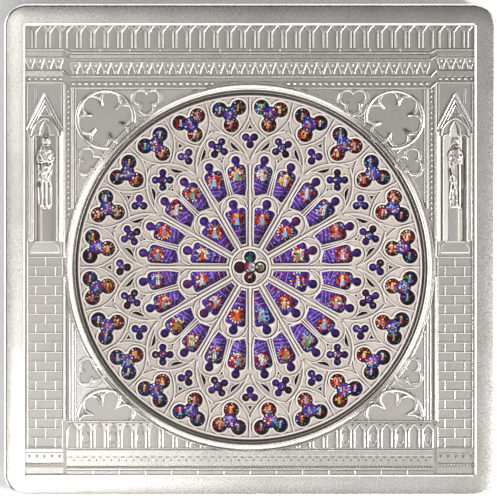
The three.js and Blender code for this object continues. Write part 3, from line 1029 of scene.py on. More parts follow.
@dataclass
class GlassPicture:
    """The glazing under the tracery: diapered grounds, medallions and small robed figures."""

    ground_level: float = GLASS_TOP + 0.004
    layer: float = 0.006
    draw: random.Random = field(default_factory=lambda: random.Random(7))
    shell: Shell = field(default_factory=Shell)
    place_turn: float = 0.0

    def paint(self, points: Path, pane: Pane, depth: int, spread: float = 0.12) -> None:
        """Lays one quarry of glass.

        Args:
            points: Its outline on a sector whose axis is +Y.
            pane: Its colour.
            depth: Its layer; a higher one lies on top.
            spread: How far its brightness may stray.
        """
        shade = 1 + self.draw.uniform(-spread, spread)
        red, green, blue, alpha = linear(pane.value)
        self.shell.tint = (red * shade, green * shade, blue * shade, alpha)
        top = self.ground_level + depth * self.layer
        spots = shifted(turned(points, self.place_turn), 0, ROSE_Y)
        self.shell.loft([[(x, y, GLASS_TOP - 0.2) for x, y in spots],
                         [(x, y, top) for x, y in spots]])

    def disc(self, x: float, y: float, radius: float, pane: Pane, depth: int,
             sides: int = 16) -> None:
        """Lays a round quarry."""
        self.paint(circle(x, y, radius, sides), pane, depth)

    def cells(self, x0: float, y0: float, x1: float, y1: float, pitch: float,
              panes: Sequence[Pane], light: Light) -> None:
        """Fills a field with small diamond quarries in mixed colours.

        Args:
            x0: Left of the field.
            y0: Foot of the field.
            x1: Right of the field.
            y1: Top of the field.
            pitch: Distance between quarries.
            panes: Colours to draw from.
            light: The opening that a quarry has to touch to be laid.
        """
        rows = int((y1 - y0) / (pitch * 0.5)) + 1
        for row in range(rows):
            y = y0 + row * pitch * 0.5
            x = x0 + (pitch * 0.5 if row % 2 else 0.0)
            while x <= x1:
                pane = self.draw.choice(panes)
                size = pitch * self.draw.uniform(0.34, 0.5)
                if self.within(light, x, y):
                    self.paint([(x + size, y), (x, y + size), (x - size, y), (x, y - size)], pane,
                               2, 0.3)
                x += pitch

    @staticmethod
    def within(light: Light, x: float, y: float) -> bool:
        """Whether a point lies in an opening or a hair beyond its edge."""
        dx, dy = x - light.middle[0], y - light.middle[1]
        return math.hypot(dx, dy) < light.reach(math.atan2(dy, dx), 0.1)

    def figure(self, x: float, y: float, size: float, robe: Pane, cloak: Pane,
               halo: Pane) -> None:
        """Lays a small figure in a robe and cloak, upright wherever it is on the rose.

        Args:
            x: Middle across.
            y: Middle up.
            size: Half its height.
            robe: Colour of the robe.
            cloak: Colour of the cloak.
            halo: Colour of the halo.
        """
        turn = self.place_turn
        mx, my = turned([(x, y)], turn)[0]
        self.place_turn = 0.0
        robe_edge = [(-0.44, -1.0), (0.44, -1.0), (0.32, -0.25), (0.3, 0.22), (0.12, 0.42),
                     (-0.12, 0.42), (-0.3, 0.22), (-0.32, -0.25)]
        cloak_edge = [(0.06, -1.0), (0.44, -1.0), (0.32, -0.25), (0.3, 0.22), (0.12, 0.42)]
        fold = [(-0.26, -0.95), (-0.1, -0.95), (-0.04, 0.1), (-0.14, 0.2)]
        arm = [(-0.3, 0.02), (0.3, -0.1), (0.32, 0.06), (-0.24, 0.2)]
        self.disc(mx, my + 0.64 * size, 0.32 * size, halo, 5, 10)
        for edge, pane, depth in ((robe_edge, robe, 5), (cloak_edge, cloak, 6), (fold, cloak, 6),
                                  (arm, robe, 7)):
            self.paint([(mx + px * size, my + py * size) for px, py in edge], pane, depth)
        self.disc(mx, my + 0.62 * size, 0.18 * size, Pane.CREAM, 7, 8)
        self.place_turn = turn

    def mosaic(self, x: float, y: float, radius: float, rings: int, panes: Sequence[Pane],
               depth: int) -> None:
        """Fills a round with rings of small quarries in mixed colours, dark lead between them.

        Args:
            x: Middle across.
            y: Middle up.
            radius: Its radius.
            rings: Number of rings.
            panes: Colours to draw from.
            depth: Their layer.
        """
        width = radius / rings
        for ring in range(rings):
            count = 4 + 5 * ring
            start = self.draw.random()
            near, far = width * (ring + 0.06), width * (ring + 0.94)
            for i in range(count):
                a = 2 * math.pi * (i + start) / count
                b = a + 2 * math.pi * 0.88 / count
                corners = ((near, a), (far, a), (far, b), (near, b))
                self.paint([(x + r * math.cos(t), y + r * math.sin(t)) for r, t in corners],
                           self.draw.choice(panes), depth, 0.35)

    def beads(self, x: float, y: float, radius: float, count: int, size: float,
              panes: Sequence[Pane], depth: int) -> None:
        """Lays a ring of small round quarries.

        Args:
            x: Middle across.
            y: Middle up.
            radius: Radius of the ring.
            count: Number of quarries.
            size: Radius of one.
            panes: Colours to draw from.
            depth: Their layer.
        """
        for i in range(count):
            a = 2 * math.pi * i / count
            self.disc(x + radius * math.cos(a), y + radius * math.sin(a), size,
                      self.draw.choice(panes), depth, 6)

    def medallion(self, x: float, y: float, radius: float) -> None:
        """Lays a round picture: a beaded ring, a glowing ground and a figure.

        Args:
            x: Middle across.
            y: Middle up.
            radius: Its radius.
        """
        rim = self.draw.choice([Pane.ROSE, Pane.LILAC, Pane.CREAM, Pane.SKY])
        glow = self.draw.choice([
            [Pane.RUBY, Pane.ORANGE, Pane.CRIMSON, Pane.ORANGE, Pane.ROSE],
            [Pane.RUBY, Pane.ORANGE, Pane.RUBY, Pane.CREAM, Pane.GOLD],
            [Pane.RUBY, Pane.CRIMSON, Pane.ROSE, Pane.SKY, Pane.CREAM],
            [Pane.COBALT, Pane.SKY, Pane.RUBY, Pane.ROSE, Pane.INDIGO]])
        self.disc(x, y, radius, Pane.NIGHT, 2, 20)
        self.beads(x, y, radius * 0.88, 16, radius * 0.12, [rim, rim, Pane.RUBY, Pane.COBALT], 3)
        self.mosaic(x, y, radius * 0.78, 3, glow, 3)
        robes = [Pane.SKY, Pane.CREAM, Pane.SKY, Pane.LEAF, Pane.ORANGE, Pane.LILAC]
        self.figure(x + self.draw.uniform(-0.12, 0.12), y, radius * 0.66,
                    self.draw.choice(robes), self.draw.choice(robes),
                    self.draw.choice([Pane.GOLD, Pane.RUBY, Pane.ROSE]))

    def ground(self, light: Light, pane: Pane) -> None:
        """Lays the lead-dark bed of an opening with its field inside it."""
        directions = light.directions()
        self.paint(light.outline(0.03, directions), Pane.LEAD, 0, 0.0)
        self.paint(light.outline(-0.07, directions), pane, 1)

    def petals(self, kind: LightKind, light: Light, side: int) -> None:
        """Glazes one petal of the inner or outer ring.

        Args:
            kind: Which ring.
            light: The petal on its own axis.
            side: Side of the axis it stands on.
        """
        violet = [Pane.VIOLET, Pane.VIOLET, Pane.PURPLE, Pane.INDIGO, Pane.LILAC, Pane.VIOLET]
        self.ground(light, Pane.PURPLE)
        if kind is LightKind.INNER_PETAL:
            self.cells(-0.6, 3.0, 0.6, 4.6, 0.3, [*violet, Pane.NIGHT, Pane.CRIMSON], light)
            for y, half, pane in ((4.66, 0.6, Pane.LILAC), (3.86, 0.44, Pane.ROSE),
                                  (3.3, 0.3, Pane.LILAC)):
                self.paint(box(-half, y - 0.05, half, y + 0.05), pane, 3)
            self.cells(-1.2, 4.8, 1.2, 7.2, 0.34, violet, light)
            self.medallion(0, 6.05, 1.02)
            self.disc(0, 7.93, 0.46, self.draw.choice([Pane.MAGENTA, Pane.INDIGO, Pane.PURPLE]), 2)
            # Painted highlight: a small lighter violet spot set off the middle of the dark head, as
            # a sheen on the glass.
            self.disc(-0.08, 8.02, 0.2, Pane.VIOLET, 3, 10)
            return
        self.cells(side * 1.3 - 1.3, 8.8, side * 1.3 + 1.3, 10.9, 0.34, violet, light)
        for y in (9.3, 9.75, 10.2):
            self.paint([(side * 0.5, y - 0.03), (side * 2.2, y + 0.3), (side * 2.2, y + 0.38),
                        (side * 0.5, y + 0.05)], Pane.LILAC, 3)
        self.medallion(side * 1.42, 11.3, 1.0)
        for dx in (-0.7, -0.35, 0.35, 0.7):
            self.disc(side * 1.42 + dx, 12.25 - abs(dx) * 0.2, 0.16,
                      self.draw.choice([Pane.RUBY, Pane.SKY, Pane.INDIGO, Pane.LILAC]), 3, 8)
        self.disc(side * 1.67, 13.06, 0.44, self.draw.choice([Pane.INDIGO, Pane.PURPLE]), 2)
        # Painted highlight: a small lighter violet spot set off the middle of the dark head, as a
        # sheen on the glass.
        self.disc(side * 1.67 - 0.06, 13.14, 0.2, Pane.VIOLET, 3, 10)

    def foils(self, kind: LightKind, light: Light) -> None:
        """Glazes a foiled opening.

        Args:
            kind: Which opening.
            light: The opening on its own axis.
        """
        cool = [Pane.INDIGO, Pane.COBALT, Pane.NIGHT, Pane.MAROON, Pane.CRIMSON, Pane.PURPLE,
                Pane.LEAF, Pane.NIGHT, Pane.SKY, Pane.RUBY]
        warm = [Pane.RUBY, Pane.ORANGE, Pane.CRIMSON, Pane.GOLD, Pane.ROSE, Pane.CREAM,
                Pane.RUBY, Pane.MAROON]
        cold = [Pane.SKY, Pane.LILAC, Pane.COBALT, Pane.CREAM, Pane.VIOLET, Pane.INDIGO]
        x, y, heart = light.rounds[0]
        self.ground(light, Pane.NIGHT)
        if kind is LightKind.TREFOIL:
            for number, (cx, cy, r) in enumerate(light.rounds[1:]):
                glow = warm if number == 0 or self.draw.random() < 0.2 else cool
                self.disc(cx, cy, r * 0.9, Pane.LEAD, 2)
                self.beads(cx, cy, r * 0.76, 12, r * 0.13, glow, 3)
                self.mosaic(cx, cy, r * 0.6, 2, glow, 3)
                self.figure(cx + self.draw.uniform(-0.1, 0.1), cy, 0.46 * r,
                            self.draw.choice([Pane.CREAM, Pane.SKY, Pane.GOLD, Pane.ROSE]),
                            self.draw.choice(glow), self.draw.choice([Pane.GOLD, Pane.RUBY]))
            self.disc(x, y, heart * 0.84, Pane.INDIGO, 4)
            self.beads(x, y, heart * 0.74, 12, heart * 0.13, cold, 5)
            self.mosaic(x, y, heart * 0.6, 2, [*cold, Pane.RUBY, Pane.RUBY], 5)
            self.figure(x, y, heart * 0.4, Pane.CREAM, self.draw.choice([Pane.RUBY, Pane.LEAF]),
                        Pane.SKY)
            return
        for cx, cy, r in light.rounds[1:]:
            self.disc(cx, cy, r * 0.84, self.draw.choice([Pane.INDIGO, Pane.VIOLET, Pane.PURPLE,
                                                          Pane.INDIGO, Pane.MAROON]), 2, 12)
            # Painted highlight: a small lighter spot set off the middle of each dark lobe of the
            # quatrefoils and small trefoils, lilac in some lobes and violet in others, as a sheen
            # on the glass.
            self.disc(cx - 0.08, cy + 0.06, r * 0.34, self.draw.choice([Pane.LILAC, Pane.VIOLET]),
                      3, 8)
        self.mosaic(x, y, heart * 0.7, 2, [*cold, Pane.VIOLET, Pane.RUBY], 4)

    def hub(self, light: Light) -> None:
        """Glazes the middle quatrefoil: a pale figure between red, green, cream and gold.

        Args:
            light: The opening.
        """
        self.ground(light, Pane.NIGHT)
        lobes = (
            (Pane.CREAM, Pane.RUBY, Pane.LEAF), (Pane.LEAF, Pane.NIGHT, Pane.TEAL),
            (Pane.MAROON, Pane.CRIMSON, Pane.NIGHT), (Pane.GOLD, Pane.CRIMSON, Pane.CREAM),
        )
        for (cx, cy, r), panes in zip(light.rounds[1:], lobes):
            self.disc(cx, cy, r * 0.84, Pane.NIGHT, 2)
            self.mosaic(cx, cy, r * 0.74, 2, panes, 3)
        self.disc(0, 0, 0.72, Pane.CRIMSON, 4)
        self.mosaic(0, 0, 0.66, 2, [Pane.SKY, Pane.RUBY, Pane.CREAM, Pane.RUBY], 5)
        self.figure(0, 0, 0.5, Pane.SKY, Pane.CREAM, Pane.SKY)

    def build(self, rose: RoseTracery, finish: StainedGlass) -> None:
        """Builds the glass and dresses it.

        Args:
            rose: The tracery that it shows through.
            finish: Its finish.
        """
        self.shell.tint = linear(Pane.LEAD.value)
        self.shell.loft([[(x, y, z) for x, y in circle(0, ROSE_Y, GLASS_HIGH[0], 96)]
                         for z in (SEAT_Z, GLASS_TOP)])
        templates = {kind: light for kind, light, _, _ in rose.templates()}
        for opening in rose.openings():
            kind = opening.kind
            self.place_turn = opening.turn
            if kind is LightKind.HUB:
                self.hub(opening.light)
                continue
            own = templates[kind].moved(opening.side, 0.0)
            if kind in (LightKind.INNER_PETAL, LightKind.OUTER_PETAL):
                self.petals(kind, own, opening.side)
            elif kind in (LightKind.SLIP, LightKind.WEDGE, LightKind.EYELET):
                self.ground(own, Pane.MAROON if kind is LightKind.SLIP else Pane.LEAD)
            else:
                self.foils(kind, own)
        self.shell.piece("stained_glass_picture", finish.build(), "stained_glass",
                         ["stained_glass_disc"])


# --------------------------------------------------------------------- plate


@dataclass
class CoinPlate:
    """The silver blank: soft outer edge, broad rim, sunk field and the round seat."""

    half: float = PLATE_HIGH[0]
    thickness: float = PLATE_HIGH[2]
    corner: float = 2.9
    fillet: float = 0.4
    back_margin: float = 2.8
    back_depth: float = 0.25
    corner_steps: int = 14
    half_side_steps: int = 13

    def square(self, half: float, corner: float, z: float) -> list[Point3]:
        """One square loop with round corners.

        Args:
            half: Half its side.
            corner: Radius of its corners.
            z: Its height.

        Returns:
            Its points, starting in the middle of the right side.
        """
        inner, steps = half - corner, self.half_side_steps
        quarter: Path = [(half, inner * i / steps) for i in range(steps)]
        quarter += arc(inner, inner, corner, 0, 90, self.corner_steps)
        quarter += [(inner * (1 - i / steps), half) for i in range(1, steps)]
        return [(x, y, z) for k in range(4) for x, y in turned(quarter, 90 * k)]

    def edge_loop(self, share: float, z: float) -> list[Point3]:
        """A loop drawn in from the outer side by a share of the fillet."""
        inset = self.fillet * share
        return self.square(self.half - inset, self.corner - inset, z)

    def round_loop(self, radius: float, z: float) -> list[Point3]:
        """One round loop about the rose, with as many points as a square one."""
        square = self.square(self.half, self.corner, z)
        angles = [math.atan2(y, x) for x, y, _ in square]
        return [(radius * math.cos(a), ROSE_Y + radius * math.sin(a), z) for a in angles]

    def build(self, finish: bpy.types.Material) -> None:
        """Builds the blank.

        Args:
            finish: Its material.
        """
        shell = Shell()
        back = self.half - self.back_margin
        loops = [self.square(back, 1.0, self.back_depth), self.square(back + 0.2, 1.0, 0.05),
                 self.square(back + 0.28, 1.0, 0.0), self.edge_loop(1.0, 0.0)]
        quarter = [math.radians(22.5 * i) for i in range(5)]
        loops += [self.edge_loop(1 - math.sin(a), self.fillet * (1 - math.cos(a)))
                  for a in quarter[1:]]
        loops += [self.edge_loop(1 - math.cos(a), self.thickness - self.fillet * (1 - math.sin(a)))
                  for a in quarter]
        loops += [self.square(FIELD_HALF + 0.1, 0.34, self.thickness),
                  self.square(FIELD_HALF - 0.08, 0.2, self.thickness - 0.14),
                  self.square(FIELD_HALF - 0.1, 0.18, HOLLOW_Z),
                  self.round_loop(RING_OUTER - 0.2, HOLLOW_Z),
                  self.round_loop(SEAT_RADIUS + 0.02, HOLLOW_Z),
                  self.round_loop(SEAT_RADIUS, SEAT_Z)]
        shell.loft(loops)
        shell.piece("coin_plate", finish, "struck_silver", ["silver_plate"])
        sheet = Shell()
        holes = [circle(0, ROSE_Y, RING_OUTER - 0.6, 120)]
        holes += [Facade.niche_outline(side) for side in SIDES]
        edge = FIELD_HALF - 0.12
        sheet.pierced(box(-edge, -edge, edge, edge), holes, HOLLOW_Z - 0.1, FIELD_Z)
        sheet.piece("sunk_field", finish, "struck_silver")


@dataclass
class RingMoulding:
    """The turned ring that frames the rose."""

    steps: int = 360
    profile: tuple[Point, ...] = (
        (21.26, 4.0), (21.28, 4.36), (21.33, 4.42), (21.4, 4.38), (21.46, 4.22), (21.5, 4.2),
        (21.62, 4.62), (21.68, 4.74), (21.76, 4.79), (21.86, 4.79), (21.94, 4.74),
        (22.3, 4.4), (22.35, 4.39), (22.41, 4.52), (22.46, 4.56), (22.54, 4.55),
        (22.6, 4.48), (22.66, 4.3), (22.68, 4.0),
    )

    def build(self, finish: bpy.types.Material) -> None:
        """Builds the ring.

        Args:
            finish: Its material.
        """
        shell = Shell()
        rings = [[(x, y, z) for x, y in circle(0, ROSE_Y, radius, self.steps)]
                 for radius, z in self.profile]
        shell.loft(rings, looped=True)
        shell.piece("ring_moulding", finish, "struck_silver")


# ------------------------------------------------------------------- figures


@dataclass(frozen=True)
class Stroke:
    """One fold, hem or limb of a carved figure: a soft ridge, or a groove if its rise sinks."""

    path: tuple[Point, ...]
    radius: float
    rise: float

    def lift(self, x: float, y: float) -> float:
        """How far the stroke raises the figure at a point.

        Args:
            x: Place across, from the figure's middle.
            y: Place up.

        Returns:
            The rise there, none past the stroke's radius.
        """
        near = self.radius
        for (x0, y0), (x1, y1) in zip(self.path, self.path[1:]):
            if (min(x0, x1) - near < x < max(x0, x1) + near
                    and min(y0, y1) - near < y < max(y0, y1) + near):
                dx, dy = x1 - x0, y1 - y0
                share = ((x - x0) * dx + (y - y0) * dy) / (dx * dx + dy * dy)
                share = min(1.0, max(0.0, share))
                near = min(near, math.hypot(x - x0 - share * dx, y - y0 - share * dy))
        part = near / self.radius
        return self.rise * (1 - part * part)


@dataclass(frozen=True)
class Figure:
    """One carved figure: rows of (height, left edge, right edge), domes and strokes."""

    rows: tuple[tuple[float, float, float], ...]
    domes: tuple[tuple[float, float, float, float, float], ...]
    strokes: tuple[Stroke, ...]
    body_rise: float = 0.9
    foot: float = 4.98
    head: float = 14.4
    reach: float = 1.45
    ground: float = 3.62
    columns: int = 58
    row_count: int = 196

    def height(self, x: float, y: float) -> float:
        """Height of the carving over its ground at a point.

        Args:
            x: Place across, from the figure's middle.
            y: Place up.

        Returns:
            The height, none beside the figure.
        """
        body = 0.0
        for (ya, la, ra), (yb, lb, rb) in zip(self.rows, self.rows[1:]):
            if ya <= y <= yb:
                share = (y - ya) / (yb - ya)
                left, right = la + (lb - la) * share, ra + (rb - ra) * share
                off = abs(2 * (x - left) / (right - left) - 1)
                body = self.body_rise * math.sqrt(1 - off ** 3) if off < 1 else 0.0
        for cx, cy, half, tall, rise in self.domes:
            off = ((x - cx) / half) ** 2 + ((y - cy) / tall) ** 2
            if off < 1:
                body = max(body, rise * math.sqrt(1 - off))
        if body > 0:
            body += sum(stroke.lift(x, y) for stroke in self.strokes)
        return max(body, 0.0)

    def carve(self, shell: Shell, middle: float) -> None:
        """Adds the figure as one closed relief.

        Args:
            shell: Where it goes.
            middle: Its middle line across the coin.
        """
        left, right = middle - self.reach, middle + self.reach
        rings = []
        for j in range(self.row_count + 1):
            y = self.foot + (self.head - self.foot) * j / self.row_count
            ring = []
            for i in range(self.columns + 1):
                dx = self.reach * (2 * i / self.columns - 1)
                ring.append((middle + dx, y, self.ground + self.height(dx, y)))
            rings.append([*ring, (right, y, self.ground - 0.07), (left, y, self.ground - 0.07)])
        shell.loft(rings)


def strokes(*groups: tuple[float, float, Sequence[tuple[Point, ...]]]) -> tuple[Stroke, ...]:
    """Strokes from groups of (radius, rise, paths)."""
    return tuple(Stroke(path, radius, rise) for radius, rise, paths in groups for path in paths)


def hooded_figure() -> Figure:
    """The left saint: hooded, hands joined over a heavy robe."""
    ridge, groove = 0.13, -0.2
    hood = ((-0.42, 12.7), (-0.45, 13.4), (-0.2, 14.0), (0.12, 14.2), (0.45, 13.95), (0.6, 13.4),
            (0.6, 12.8))
    chin, nose = ((0.05, 12.45), (0.6, 12.5)), ((0.14, 13.35), (0.14, 13.08))
    eyes = (((-0.04, 13.32), (0.04, 13.32)), ((0.24, 13.32), (0.32, 13.32)))
    mouth, hands = ((0.04, 12.9), (0.22, 12.9)), ((0.0, 10.8), (0.2, 10.85))
    collar = ((-0.6, 12.2), (0.1, 11.8), (0.8, 12.2))
    sleeves = (((-0.95, 11.9), (-1.08, 11.1), (-0.7, 10.75), (0.0, 10.8)),
               ((1.1, 11.9), (1.2, 11.1), (0.8, 10.8), (0.2, 10.85)))
    shades = (*(((x, 10.5), (x + 0.08, 10.5)) for x in (-1.0, -0.6, -0.2, 0.2, 0.6)),
              ((1.05, 11.5), (1.12, 11.5)))
    chest_folds = (((-0.5, 11.7), (-0.2, 11.1)), ((0.7, 11.7), (0.45, 11.1)))
    belt, toe = ((0.0, 10.2), (0.7, 10.2)), ((-0.35, 5.15), (-0.1, 5.12))
    broad_folds = (collar, ((-0.9, 9.9), (-0.3, 9.3), (0.3, 9.6)),
                   ((-1.0, 9.2), (-0.9, 8.0), (-0.88, 5.5)), ((0.6, 9.0), (0.85, 7.5), (0.8, 5.5)))
    narrow_folds = (((-0.1, 9.7), (0.25, 9.2), (0.2, 8.8)), ((0.9, 9.9), (0.55, 9.2), (0.3, 8.7)),
                    ((-0.35, 8.6), (-0.28, 5.4)), ((0.25, 8.4), (0.26, 5.4)))
    valleys = (((-0.02, 8.3), (-0.03, 5.5)), ((0.5, 8.2), (0.52, 5.6)), ((-0.6, 9.3), (-0.6, 8.9)))
    rows = ((5.02, -0.84, 0.86), (5.6, -0.92, 0.95), (6.6, -1.0, 1.0), (7.6, -1.12, 1.05),
            (8.2, -0.98, 1.0), (9.0, -1.08, 0.93), (10.0, -1.12, 1.1), (10.8, -1.26, 1.38),
            (11.3, -1.24, 1.4), (11.9, -1.08, 1.25), (12.4, -0.85, 0.95), (12.95, -0.3, 0.6))
    return Figure(rows, ((0.1, 13.35, 0.66, 0.93, 0.9), (0.13, 13.2, 0.36, 0.5, 1.0)), strokes(
        (0.17, ridge, (hood,)), (0.2, -0.4, (chin,)), (0.1, -0.14, eyes), (0.08, 0.08, (nose,)),
        (0.06, -0.06, (mouth,)), (0.26, 0.16, sleeves), (0.22, 0.12, (hands,)),
        (0.13, -0.3, shades), (0.2, 0.08, (belt,)), (0.1, 0.08, chest_folds),
        (0.12, ridge, broad_folds), (0.11, ridge, narrow_folds), (0.12, groove, valleys),
        (0.13, groove, (((-0.62, 8.4), (-0.6, 5.6)),)), (0.16, 0.12, (toe,)),
    ))


def bare_headed_figure() -> Figure:
    """The right saint: bare-headed, a cloth over one arm and a long mantle."""
    ridge, groove = 0.14, -0.2
    hair = (((-0.38, 12.9), (-0.4, 13.4), (-0.18, 13.75)),
            ((0.5, 12.85), (0.52, 13.35), (0.28, 13.75)))
    parting, nose = ((0.06, 13.8), (0.06, 13.5)), ((0.06, 13.25), (0.06, 13.0))
    eyes = (((-0.1, 13.22), (-0.04, 13.22)), ((0.16, 13.22), (0.22, 13.22)))
    mouth, chin = ((-0.03, 12.83), (0.15, 12.83)), ((-0.25, 12.35), (0.2, 12.4))
    shoulders = (((-0.6, 12.1), (-0.9, 11.3)), ((0.7, 12.2), (1.0, 11.4), (0.95, 10.8)))
    elbow, lap = ((0.68, 11.65), (0.74, 11.55)), ((-0.4, 11.0), (-0.3, 10.9))
    cloth = (((-0.85, 11.6), (0.25, 10.75)), ((-0.7, 11.85), (0.35, 11.05)),
             ((-0.95, 11.2), (0.0, 10.5)), ((0.2, 10.6), (0.22, 5.5)),
             ((-0.05, 10.3), (-0.05, 8.2)))
    mantle, hem = ((0.55, 10.7), (0.6, 8.5), (0.65, 5.5)), ((-0.7, 5.3), (0.85, 5.3))
    folds = (((-0.45, 10.2), (-0.3, 9.0)), ((-0.3, 7.2), (0.05, 7.9)),
             ((-0.4, 5.9), (-0.1, 6.2), (-0.2, 6.6)))
    upper_curl = ((-0.9, 10.3), (-0.75, 9.6), (-0.6, 8.9), (-0.8, 8.3))
    lower_curl = ((-0.5, 8.2), (-0.6, 7.3), (-0.75, 6.5), (-0.8, 5.5))
    valleys = (((0.37, 10.5), (0.4, 5.6)), ((0.86, 10.4), (0.88, 5.8)), ((0.0, 6.8), (0.02, 5.6)))
    rows = ((5.02, -0.82, 0.98), (5.8, -0.86, 0.96), (6.6, -0.84, 1.0), (7.4, -0.8, 1.02),
            (7.8, -0.76, 1.15), (8.6, -0.85, 1.2), (9.6, -0.9, 1.2), (10.2, -0.95, 1.22),
            (10.9, -1.05, 1.22), (11.5, -1.0, 1.18), (12.0, -0.85, 1.0), (12.4, -0.55, 0.7),
            (12.65, -0.35, 0.5))
    return Figure(rows, ((0.06, 13.2, 0.55, 0.68, 0.86), (0.06, 13.1, 0.32, 0.45, 0.96)), strokes(
        (0.15, ridge, (*hair, *shoulders)), (0.1, -0.15, (parting,)), (0.09, -0.13, eyes),
        (0.07, 0.08, (nose,)), (0.06, -0.06, (mouth,)), (0.18, -0.4, (chin,)),
        (0.13, -0.3, (elbow,)), (0.08, ridge, cloth), (0.26, -0.16, (lap,)),
        (0.2, 0.18, (mantle,)), (0.09, ridge, (((1.02, 10.5), (1.04, 8.0)),)),
        (0.1, groove, valleys), (0.12, ridge, (upper_curl,)), (0.13, ridge, (lower_curl,)),
        (0.1, ridge, folds), (0.14, groove, (((-0.62, 9.9), (-0.5, 9.2)),)),
        (0.13, groove, (((-0.25, 8.0), (-0.2, 7.4)),)),
        (0.12, groove, (((-0.4, 7.0), (-0.5, 6.2)),)), (0.1, 0.08, (hem,)),
    ))


# -------------------------------------------------------------------- facade


@dataclass
class Facade:
    """The church front in low relief round the rose."""

    bay: float = 1.666
    low: float = 0.14
    middle: float = 0.28
    high: float = 0.42
    shaft_width: float = 0.19
    shaft_gap: float = 0.43
    wheel: Point = (17.6, 15.95)
    bowl: Point = (17.55, -20.5)
    wheel_radius: float = 3.5
    panel_top: float = 4.4
    centre_reach: float = 21.95
    foot_reach: float = 22.35
    course: float = 1.16
    sill: Lip = Lip(((0.0, 4.5), (0.08, 4.58), (0.19, 4.6), (0.3, 4.58), (0.38, 4.5)), ROOT_Z)

    @staticmethod
    def level(height: float) -> float:
        """Height above the coin's back of relief that stands this far off the field."""
        return FIELD_Z + height

    @staticmethod
    def aisle(side: int) -> tuple[float, float]:
        """Left and right end of the courses over one aisle."""
        left, right = sorted((side * (FIELD_HALF - 0.1), side * 22.75))
        return left, right

    def arcade(self, shell: Shell, centres: Sequence[float], base: float, spring: float,
               apex: float) -> None:
        """A row of pointed lights between paired shafts.

        Args:
            shell: Where it goes.
            centres: Middles of the lights.
            base: Foot of the shafts.
            spring: Height where the heads start.
            apex: Height of the points.
        """
        top = self.level(self.high)
        half = (self.bay - self.shaft_gap) / 2
        for x in centres:
            for side in SIDES:
                shaft = x + side * half
                shell.clear_rib([(shaft, base), (shaft, spring), (x + side * 0.02, apex)],
                                self.shaft_width, top)
                for y in (base + 0.06, spring - 0.05):
                    if off_rose(shaft, y) > RING_OUTER + 0.2:
                        shell.mound(shaft, y, 0.14, 0.08, top + 0.02)
            pier = x + self.bay / 2
            if off_rose(pier, spring) > RING_OUTER + 0.3:
                wedge = [(pier - 0.74, apex + 0.1), (pier + 0.74, apex + 0.1),
                         (pier + 0.14, spring), (pier - 0.14, spring)]
                eye = [(pier - 0.22, apex - 0.02), (pier + 0.22, apex - 0.02), (pier, apex - 0.3)]
                shell.pierced(wedge, [eye], ROOT_Z, self.level(self.middle))

    def bands(self, shell: Shell, x0: float, x1: float,
              courses: Sequence[tuple[float, float, float]]) -> None:
        """Straight flat courses with bevelled edges, cut where they meet the ring.

        Args:
            shell: Where they go.
            x0: Left end.
            x1: Right end.
            courses: Foot, top and height off the field of each.
        """
        for y0, y1, height in courses:
            y, half = (y0 + y1) / 2, (y1 - y0) / 2
            top = self.level(height)
            bevel = min(0.05, half * 0.4)
            section = [(-half, ROOT_Z), (-half, top - bevel), (-half + bevel, top),
                       (half - bevel, top), (half, top - bevel), (half, ROOT_Z)]
            for run in outside_rose([(x0, y), (x1, y)], RING_OUTER - 0.1):
                shell.sweep([run[0], run[-1]], section)

    def leaves(self, shell: Shell, x0: float, x1: float, top: float, bottom: float,
               pitch: float) -> None:
        """A frieze of upright leaves: a round bud between two lobes and a bright split tip.

        Args:
            shell: Where it goes.
            x0: Left end.
            x1: Right end.
            top: Top of the frieze.
            bottom: Foot of the frieze.
            pitch: Width of a leaf.
        """
        count = round((x1 - x0) / pitch)
        step, tall = (x1 - x0) / count, top - bottom
        face = self.level(self.middle)
        right = ((0.2, 0.0), (0.33, 0.34), (0.47, 0.7), (0.4, 0.9))
        stem = ((0.45, 0.88), (0.42, 0.6), (0.22, 0.3))
        for i in range(count):
            x = x0 + (i + 0.5) * step
            half = [(px * step, bottom + py * tall) for px, py in right]
            outline = shifted([*half, *flipped(half[::-1], -1)], x, 0)
            shell.prism(outline, self.level(self.low), 0.06)
            shell.mound(x, bottom + tall * 0.67, 0.2, 0.24, face, sides=10)
            for side in SIDES:
                edge = [(x + side * step * px, bottom + tall * py) for px, py in stem]
                shell.rib([*edge, (x + side * step * 0.14, bottom + 0.08)], 0.15, face + 0.06)
                shell.mound(x + side * step * 0.2, bottom + tall * 0.2, 0.13, 0.28, face + 0.08,
                            turn=side * -14)
            shell.mound(x, bottom + tall * 0.24, 0.12, 0.34, face + 0.1)

    def beads(self, shell: Shell, x0: float, x1: float, y: float, pitch: float, size: Point,
              height: float) -> None:
        """A row of beads.

        Args:
            shell: Where it goes.
            x0: Left end.
            x1: Right end.
            y: Its middle line.
            pitch: Distance between beads.
            size: Half width and half height of a bead.
            height: How far a bead stands off the field.
        """
        count = round((x1 - x0) / pitch)
        for i in range(count):
            x = x0 + (i + 0.5) * (x1 - x0) / count
            if off_rose(x, y) > RING_OUTER + 0.25:
                shell.mound(x, y, *size, self.level(height))

    def joints(self, shell: Shell, reach: float, y0: float, y1: float, pitch: float) -> None:
        """Upright joints across a course that reaches as far to the left as to the right."""
        count = round(2 * reach / pitch)
        for i in range(1, count):
            x = 2 * reach * i / count - reach
            shell.rib([(x, y0), (x, y1)], 0.14, self.level(self.low + 0.14))

